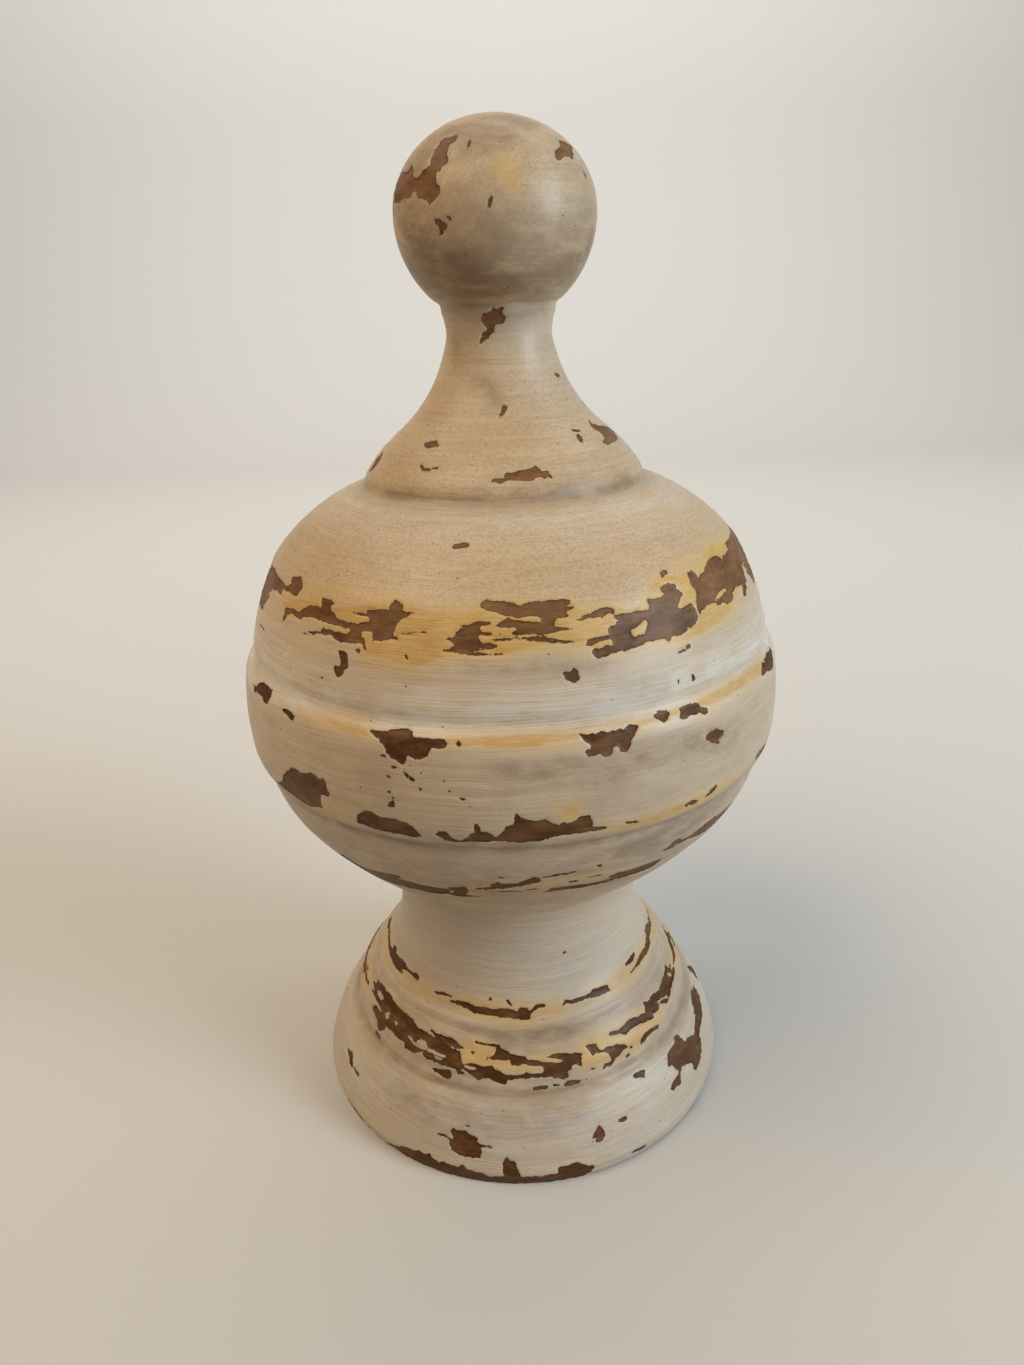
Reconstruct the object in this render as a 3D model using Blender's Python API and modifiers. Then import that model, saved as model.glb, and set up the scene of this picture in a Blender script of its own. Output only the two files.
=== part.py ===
"""A turned wooden finial: a ball on a slender neck, a domed globe with a raised band, and a flared foot.

Metres, +Z up. The origin is the centre of the flat underside, on which the finial stands.
The whole piece is one turning, so it is one outline swept round the Z axis. Heights and radii are
stacked from the underside up: each run starts where the run below it ends.
"""

import math

import bpy

# Foot, from the underside up
RIM_RADIUS = 0.0711
RIM_HEIGHT = 0.0075
RIM_ROUNDING = 0.0010
FOOT_HEIGHT = 0.0187
FOOT_TAPER = 0.0098
FOOT_BELLY = 0.0015

# Bead over the foot, between a groove below and a cove above
BEAD_FACE_HEIGHT = 0.0057
BEAD_FACE_TAPER = 0.0026
BEAD_FACE_HOLLOW = 0.0005
BEAD_CREST_HEIGHT = 0.0045
BEAD_CREST_TAPER = 0.0024
BEAD_CREST_ROUNDING = 0.0004
COVE_HEIGHT = 0.0080
COVE_TAPER = 0.0054
COVE_HOLLOW = 0.0003
ARRIS_HEIGHT = 0.0035
ARRIS_TAPER = 0.0031
ARRIS_HOLLOW = 0.0006

# Waist: one deep hollow from the foot's arris to the underside of the globe
WAIST_HEIGHT = 0.0379
WAIST_HOLLOW = 0.0056
WAIST_TOP_RADIUS = 0.0463
UNDERSIDE_HEIGHT = 0.0257
UNDERSIDE_BELLY = 0.0013

# Globe: a plain bowl, a raised band and a domed shoulder
BOWL_EDGE_RADIUS = 0.0726
BOWL_HEIGHT = 0.0182
BOWL_BELLY = 0.0012
BAND_RADIUS = 0.0830
BAND_HEIGHT = 0.0261
BAND_BELLY = 0.0013
BAND_TAPER = 0.0006
BAND_STEP_DEPTH = 0.0027
BAND_STEP_HEIGHT = 0.0042
BAND_STEP_ROUNDING = 0.0003
BAND_LIP_HEIGHT = 0.0022
BAND_LIP_DEPTH = 0.0015
BAND_LIP_ROUNDING = 0.0002
QUIRK_HEIGHT = 0.0043
QUIRK_DEPTH = 0.0014
QUIRK_HOLLOW = 0.0008
SHOULDER_HEIGHT = 0.0252
SHOULDER_TAPER = 0.0093
SHOULDER_BELLY = 0.0012
DOME_HEIGHT = 0.0187
DOME_BELLY = 0.0023

# Collar, neck and ball
COLLAR_RADIUS = 0.0414
COLLAR_STEP = 0.0022
COLLAR_STEP_HEIGHT = 0.0026
COLLAR_STEP_HOLLOW = 0.0005
COLLAR_HEIGHT = 0.0118
COLLAR_TAPER = 0.0104
COLLAR_BELLY = 0.0008
NECK_RADIUS = 0.0151
NECK_HEIGHT = 0.0271
NECK_HOLLOW = 0.0030
NECK_HEAD_HEIGHT = 0.0073
NECK_HEAD_FLARE = 0.0015
NECK_HEAD_HOLLOW = 0.0002
BALL_RADIUS = 0.0280
BALL_TOP_RISE = 0.0241
BALL_LOWER_DROP = 0.0283

# How finely the round forms are cut into flats
STEPS_ROUND = 60
CHORD_ERROR = 0.00012
SHARP_ANGLE = math.radians(32)


def bowed_run(start, end, bow):
    """Points after start on the arc to end, a point lower down, that bows out by bow, or in where it is negative."""
    along_r, along_z = end[0] - start[0], end[1] - start[1]
    chord = math.hypot(along_r, along_z)
    out_r, out_z = -along_z / chord, along_r / chord
    half_turn = 2 * math.atan2(2 * abs(bow), chord)
    radius = chord / (2 * math.sin(half_turn))
    middle = ((start[0] + end[0]) / 2, (start[1] + end[1]) / 2)
    pieces = max(2, math.ceil(math.sqrt(abs(bow) / CHORD_ERROR)))
    points = []
    for piece in range(1, pieces + 1):
        turn = half_turn * (2 * piece / pieces - 1)
        share = math.sin(turn) / math.sin(half_turn) / 2
        rise = math.copysign(radius * (math.cos(turn) - math.cos(half_turn)), bow)
        points.append(
            (
                middle[0] + along_r * share + out_r * rise,
                middle[1] + along_z * share + out_z * rise,
            )
        )
    return points


def oval_run(centre_z, radius, rise, from_angle, to_angle):
    """Points on the ball between two angles from the pole. Its halves rise and drop by different amounts."""
    piece_turn = 2 * math.acos(1 - CHORD_ERROR / radius)
    pieces = max(4, math.ceil((to_angle - from_angle) / piece_turn))
    points = []
    for piece in range(pieces + 1):
        angle = from_angle + (to_angle - from_angle) * piece / pieces
        points.append((radius * math.sin(angle), centre_z + rise * math.cos(angle)))
    return points


def stations():
    """Where the runs below the ball meet, from the underside up, as (radius, height, bow of the run below it)."""
    found = [(RIM_RADIUS, 0.0, 0.0)]

    def above(radius, height, bow):
        found.append((radius, found[-1][1] + height, bow))

    def narrower(taper, height, bow):
        above(found[-1][0] - taper, height, bow)

    above(RIM_RADIUS, RIM_HEIGHT, RIM_ROUNDING)
    narrower(FOOT_TAPER, FOOT_HEIGHT, FOOT_BELLY)
    narrower(BEAD_FACE_TAPER, BEAD_FACE_HEIGHT, -BEAD_FACE_HOLLOW)
    narrower(BEAD_CREST_TAPER, BEAD_CREST_HEIGHT, BEAD_CREST_ROUNDING)
    narrower(COVE_TAPER, COVE_HEIGHT, -COVE_HOLLOW)
    narrower(ARRIS_TAPER, ARRIS_HEIGHT, -ARRIS_HOLLOW)
    above(WAIST_TOP_RADIUS, WAIST_HEIGHT, -WAIST_HOLLOW)
    above(BOWL_EDGE_RADIUS, UNDERSIDE_HEIGHT, UNDERSIDE_BELLY)
    above(BAND_RADIUS - BAND_STEP_DEPTH, BOWL_HEIGHT, BOWL_BELLY)
    above(BAND_RADIUS, BAND_STEP_HEIGHT, BAND_STEP_ROUNDING)
    narrower(BAND_TAPER, BAND_HEIGHT, BAND_BELLY)
    narrower(BAND_LIP_DEPTH, BAND_LIP_HEIGHT, BAND_LIP_ROUNDING)
    narrower(QUIRK_DEPTH, QUIRK_HEIGHT, -QUIRK_HOLLOW)
    narrower(SHOULDER_TAPER, SHOULDER_HEIGHT, SHOULDER_BELLY)
    above(COLLAR_RADIUS + COLLAR_STEP, DOME_HEIGHT, DOME_BELLY)
    above(COLLAR_RADIUS, COLLAR_STEP_HEIGHT, -COLLAR_STEP_HOLLOW)
    narrower(COLLAR_TAPER, COLLAR_HEIGHT, COLLAR_BELLY)
    above(NECK_RADIUS, NECK_HEIGHT, -NECK_HOLLOW)
    narrower(-NECK_HEAD_FLARE, NECK_HEAD_HEIGHT, -NECK_HEAD_HOLLOW)
    return found


def ball_points(crease_radius, crease_height):
    """The ball's outline from its top down to the crease where it sits in the head of the neck."""
    crease_angle = math.pi - math.asin(min(crease_radius / BALL_RADIUS, 1))
    centre_z = crease_height - BALL_LOWER_DROP * math.cos(crease_angle)
    upper = oval_run(centre_z, BALL_RADIUS, BALL_TOP_RISE, 0, math.pi / 2)
    lower = oval_run(centre_z, BALL_RADIUS, BALL_LOWER_DROP, math.pi / 2, crease_angle)
    return upper + lower[1:]


def outline():
    """The turned outline at +X, from the top of the ball down to the centre of the underside."""
    places = stations()
    crease_radius, crease_height, _ = places[-1]
    points = ball_points(crease_radius, crease_height)
    for upper, lower in zip(reversed(places), reversed(places[:-1])):
        points += bowed_run(upper[:2], lower[:2], upper[2])
    points.append((0.0, 0.0))
    return points


def painted_wood():
    """Worn cream paint on turned wood."""
    material = bpy.data.materials.new("painted_wood")
    material.use_nodes = True
    surface = material.node_tree.nodes["Principled BSDF"]
    surface.inputs["Base Color"].default_value = (0.52, 0.44, 0.34, 1.0)
    surface.inputs["Roughness"].default_value = 0.5
    surface.inputs["Metallic"].default_value = 0.0
    return material


def turned(name, points, material):
    """A solid of revolution about the Z axis from an outline that starts and ends on the axis."""
    mesh = bpy.data.meshes.new(name)
    edges = [(start, start + 1) for start in range(len(points) - 1)]
    mesh.from_pydata([(radius, 0.0, height) for radius, height in points], edges, [])
    mesh.materials.append(material)
    piece = bpy.data.objects.new(name, mesh)
    screw = piece.modifiers.new("Turning", "SCREW")
    screw.axis = "Z"
    screw.steps = STEPS_ROUND
    screw.render_steps = STEPS_ROUND
    screw.use_merge_vertices = True
    screw.merge_threshold = 0.00001
    screw.use_smooth_shade = True
    creases = piece.modifiers.new("Creases", "EDGE_SPLIT")
    creases.split_angle = SHARP_ANGLE
    creases.use_edge_sharp = False
    return piece


def main():
    for old in list(bpy.data.objects):
        bpy.data.objects.remove(old)
    finial_parts = bpy.data.collections.new("finial")
    bpy.context.scene.collection.children.link(finial_parts)
    finial_parts.objects.link(turned("finial", outline(), painted_wood()))


main()
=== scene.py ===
"""A turned finial in worn cream paint: the paint has flaked off in chips down to a brown coat, and rubbed through to
an ochre one round the shoulder, the arrises and the beads.

Metres, +Z up. The finial stands on the origin and its front faces -Y. A place on it is an azimuth, which is zero at
the front and grows towards +X, and a run, which is the length of outline from the top of the ball down to that place.
"""

import math
import random

import bmesh
import bpy
import numpy as np
from mathutils import Matrix, Vector, noise


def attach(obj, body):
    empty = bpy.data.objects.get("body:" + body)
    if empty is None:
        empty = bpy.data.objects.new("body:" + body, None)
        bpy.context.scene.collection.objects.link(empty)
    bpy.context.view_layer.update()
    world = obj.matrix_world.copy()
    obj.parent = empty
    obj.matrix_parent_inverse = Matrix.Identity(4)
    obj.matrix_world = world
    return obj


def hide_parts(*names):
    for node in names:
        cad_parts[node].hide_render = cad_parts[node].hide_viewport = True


bl_info = {
    "name": "Worn Painted Finial",
    "version": (1, 0, 0),
    "blender": (4, 5, 0),
    "location": "View3D > Sidebar > Finial",
    "description": "Makes a turned finial in chipped cream paint, with its stage",
    "category": "Object",
}

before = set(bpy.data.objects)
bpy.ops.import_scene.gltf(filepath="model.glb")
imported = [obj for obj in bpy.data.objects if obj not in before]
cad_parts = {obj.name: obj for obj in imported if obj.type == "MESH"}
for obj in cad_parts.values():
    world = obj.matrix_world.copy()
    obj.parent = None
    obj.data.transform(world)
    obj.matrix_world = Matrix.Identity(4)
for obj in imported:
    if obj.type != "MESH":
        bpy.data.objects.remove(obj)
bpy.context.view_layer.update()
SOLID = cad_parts["finial"]

MM = 0.001

# The camera that took the photograph, in the finial's own frame
PHOTO_WIDTH = 1024
PHOTO_HEIGHT = 1365
PIXELS_PER_SLOPE = 950.0
SENSOR_MM = 36.0
CAMERA_PLACE = (0.0, -0.290, 0.2617)
CAMERA_PITCH = math.radians(22.236)
CAMERA_ROLL = math.radians(-1.952)
CAMERA_YAW = math.radians(-0.054)

# Where the lamps aim: the middle of the finial, and the backdrop behind it
FINIAL_MIDDLE = (0.0, 0.0, 0.16)
BACKDROP_MIDDLE = (0.0, 1.9, 0.7)

# How the outline is followed
OUTLINE_STEP = 0.15 * MM
SHARP_TURN = math.radians(24)
CLOSEST_CORNERS = 0.3 * MM
NEAREST_SIGHT = 0.15
FARTHEST_SIGHT = 0.42
SIGHT_STEPS = 5400

# How far from the edge of a chip the mesh is cut finer, and down to which length of edge, one cut after another
FINER_CUTS = ((1.9 * MM, 1.9 * MM), (0.95 * MM, 1.0 * MM), (0.45 * MM, 0.7 * MM))
FARTHEST_CHIP = 4.0 * MM
WIDTH_OF_FULL_STRAY = 1.5 * MM

# Hollows and, where negative, rises too fine for the solid: (height, depth, width) in metres
HOLLOWS = {
    "under the ball": (0.2594, 0.35 * MM, 1.2 * MM),
    "neck's head": (0.2572, -0.22 * MM, 1.4 * MM),
    "under the collar": (0.2110, 0.40 * MM, 1.8 * MM),
    "under the band": (0.1299, 0.35 * MM, 1.6 * MM),
    "under the arris": (0.0425, 0.50 * MM, 3.4 * MM),
    "on the bead": (0.0330, -0.25 * MM, 3.0 * MM),
    "under the bead": (0.0264, 0.55 * MM, 2.6 * MM),
}

# Chips are chains of places that each chip passes through, read off the photograph. A place is
# (pixels from the left, pixels from the top, width of the chip there in millimetres).
# Flakes have crisp outlines. Torn chips run out in streaks round the turning.
FLAKES = {
    "line on the ball's left edge": (((394, 198, 0.6), (393, 208, 0.8), (394, 216, 0.5)),),
    "slit on top of the ball": (((470, 139, 0.5), (468, 147, 0.5)),),
    "slit on the ball's right": (((583, 170, 0.5), (586, 178, 0.7)),),
    "speck beside the drop": (((449, 217, 0.9), (451, 219, 0.6)),),
    "chip on the neck": (
        ((501, 309, 1.2), (495, 315, 3.4), (489, 322, 3.8), (491, 329, 2.0), (486, 335, 1.6), (480, 343, 0.5)),
        ((485, 318, 2.0), (500, 318, 2.4)),
    ),
    "speck on the neck": (((556, 374, 0.9), (559, 376, 0.7)),),
    "slit on the neck": (((505, 407, 0.9), (502, 413, 1.0), (500.5, 416, 0.7)),),
    "scratch on the neck's right": (((580, 395, 0.4), (585, 406, 0.5)),),
    "two bits beside it": (((573, 430, 0.8), (579, 431, 0.9)), ((579, 436, 1.2), (581, 440, 1.2))),
    "chip on the collar's left edge": (((382, 453, 1.2), (377, 461, 4.5), (372, 468, 2.0)),),
    "bent scratch on the collar": (((421, 465, 0.5), (423, 470, 0.65), (430, 469, 0.6), (437, 468, 0.55)),),
    "chip on the dome": (((455, 546, 1.2), (466, 545, 1.5)),),
    "two specks under the ochre": (((357, 651, 0.7), (359, 651, 0.7)), ((406, 656, 0.6), (407, 658, 0.6))),
    "slit under the ochre's right": (((679, 653, 0.5), (690, 646, 0.7)),),
    "specks under the ochre's right": (((693, 675, 0.5), (694, 679, 0.9)), ((678, 682, 0.5), (678, 683, 0.5))),
    "speck on the band's top edge": (((458, 742, 0.7), (459, 744, 1.1)),),
    "square chip on the band's right": (
        ((709, 737, 1.6), (716, 736, 4.0), (722, 733, 1.6)),
        ((716, 738, 3.0), (718, 743, 1.0)),
    ),
    "chip on the band's right edge": (((771, 649, 1.0), (771, 660, 4.5), (765, 668, 2.5), (762, 675, 0.6)),),
    "chip low on the band's right edge": (((757, 757, 1.6), (763, 749, 2.0), (768, 743, 0.8)),),
    "bits on the step's right": (
        ((626, 823, 0.5), (638, 822, 0.6)),
        ((686, 806, 0.8), (691, 803, 1.6), (697, 802, 0.6)),
        ((707, 796, 0.8), (712, 791, 1.4), (715, 788, 1.2)),
    ),
    "speck on the bowl": (((598, 866, 0.7), (600, 866, 0.9)),),
    "chips on the foot's left": (
        ((348, 1050, 1.2), (351, 1057, 2.6), (352, 1065, 1.2)),
        ((354, 1068, 0.6), (358, 1075, 1.0)),
        ((348, 988, 0.5), (344, 998, 0.6)),
    ),
    "rim's left": (
        ((334, 1072, 0.8), (340, 1086, 1.6), (347, 1098, 2.0), (358, 1114, 2.0), (369, 1128, 2.4), (381, 1139, 2.0)),
        ((381, 1139, 2.0), (390, 1146, 2.4), (404, 1152, 3.6), (417, 1157, 4.6), (431, 1163, 3.0), (444, 1168, 3.4)),
        ((444, 1168, 3.4), (463, 1172, 3.2), (484, 1178, 2.2), (500, 1180, 2.0)),
    ),
    "rim's middle": (
        ((500, 1180, 2.0), (517, 1180, 2.0), (532, 1180, 1.6), (548, 1178, 2.0), (562, 1175, 2.4), (578, 1171, 3.0)),
        ((511, 1176, 4.0), (510, 1167, 3.6), (507, 1161, 1.6)),
        ((562, 1170, 2.0), (578, 1168, 3.0), (592, 1168, 1.4)),
    ),
    "rim's right": (
        ((632, 1153, 0.5), (642, 1148, 1.3), (648, 1144, 0.5)),
        ((687, 1113, 0.5), (693, 1105, 1.3), (699, 1096, 0.9), (704, 1088, 0.5)),
        ((708, 1079, 0.5), (710, 1072, 0.9), (711, 1064, 0.5)),
    ),
    "speck on the waist": (((563, 954, 0.6), (565, 952, 0.8)),),
    "specks on the band": (
        ((389, 792, 0.7), (390, 793, 0.5)),
        ((393, 767, 0.6), (396, 768, 0.7)),
        ((403, 772, 0.5), (407, 776, 0.6)),
        ((411, 779, 0.6), (413, 780, 0.6)),
        ((420, 790, 0.7), (421, 790, 0.4)),
        ((443, 782, 0.7), (444, 782, 0.6)),
        ((449, 792, 0.6), (450, 792, 0.5)),
        ((460, 799, 0.5), (464, 800, 0.5)),
        ((470, 806, 0.7), (471, 807, 0.4)),
        ((382, 756, 0.6), (384, 756, 0.5)),
        ((387, 777, 0.5), (389, 777, 0.55)),
    ),
    "specks under the left chips": (
        ((358, 651, 0.9), (359, 650, 0.6)),
        ((321, 677, 0.6), (322, 678, 0.4)),
        ((260, 625, 0.4), (264, 630, 0.6)),
    ),
    "scratches on the foot": (
        ((438, 1133, 0.5), (445, 1136, 0.7), (451, 1140, 0.6)),
        ((475, 1144, 0.8), (484, 1146, 0.6), (491, 1147, 0.6)),
        ((465, 1126, 0.45), (469, 1126, 0.5)),
        ((620, 1120, 1.0), (625, 1119, 1.1)),
    ),
    "bits round the arris": (
        ((490, 999, 0.8), (490.5, 999, 0.6)),
        ((507, 1001, 0.7), (511, 1005, 0.6)),
        ((435, 992, 0.5), (444, 994, 0.8), (451, 996, 0.7)),
        ((530, 1013, 0.6), (538, 1006, 1.4), (545, 1005, 0.5)),
        ((399, 904, 1.4), (391, 918, 1.8), (389, 934, 2.0), (390, 950, 1.8), (395, 962, 1.2), (402, 972, 0.6)),
    ),
    "bits below the bead": (
        ((376, 1032, 1.0), (379, 1037, 1.2)),
        ((534, 1089, 0.7), (540, 1087.5, 1.0), (546, 1087, 0.8)),
        ((554, 1085, 0.6), (555, 1085, 0.5)),
        ((558, 1085, 0.6), (559, 1085, 0.5)),
        ((627, 1057, 0.7), (629, 1055, 0.8)),
        ((631, 1047, 0.9), (632, 1047, 0.6)),
        ((591, 1069, 0.5), (594, 1069, 0.4)),
        ((476, 1042, 0.5), (488, 1045, 0.6), (498, 1046, 0.7)),
        ((472, 1053, 0.7), (473, 1053, 0.8)),
        ((679, 1073, 0.6), (680, 1070, 0.6)),
    ),
}
TORN_CHIPS = {
    "shoulder, lines right of the block": (((404, 633, 0.45), (414, 633, 0.5)), ((420, 632, 0.45), (426, 632, 0.5))),
    "shoulder, line left of the block": (((300, 633, 0.45), (322, 633, 0.45)),),
    "shoulder, lowest line": (
        ((494, 639, 0.5), (520, 640, 0.55), (535, 639, 0.8), (545, 639, 0.9), (560, 641, 0.6), (575, 642, 0.5)),
    ),
    "bowl's edge, upper lines": (
        ((540, 878, 0.5), (556, 876, 0.9)),
        ((556, 876, 0.9), (576, 872, 0.5)),
        ((493, 879, 0.5), (506, 878, 0.5)),
    ),
    "bowl's edge, lower lines": (
        ((497, 892, 0.5), (520, 891, 0.7), (537, 889, 0.6)),
        ((552, 889, 0.5), (575, 886, 0.6), (600, 882, 0.7)),
        ((572, 882, 0.8), (578, 881, 0.7)),
        ((586, 878, 0.6), (603, 875, 0.7)),
    ),
    "bead, left edge": (((376, 938, 0.6), (368, 950, 1.0), (364, 962, 1.2), (365, 974, 1.0), (369, 984, 0.6)),),
}

# Enlargements of the photograph from which the bigger chips are read: (left, top, times enlarged)
BALL = (385, 110, 7.127)
COLLAR = (400, 395, 6.533)
SHOULDER_LEFT = (250, 550, 10.453)
SHOULDER_MIDDLE = (330, 480, 5.227)
SHOULDER_RIGHT = (570, 500, 7.84)
BAND_LEFT = (240, 660, 9.22)
BAND_MIDDLE = (345, 700, 9.8)
BAND_RIGHT = (400, 640, 5.227)
FOOT_LEFT = (360, 900, 7.839)
FOOT_RIGHT = (530, 900, 7.842)
RIM = (325, 1090, 5.227)
BOWL_LEFT = (320, 835, 6.533)
BOWL_RIGHT = (540, 790, 7.127)
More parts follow.
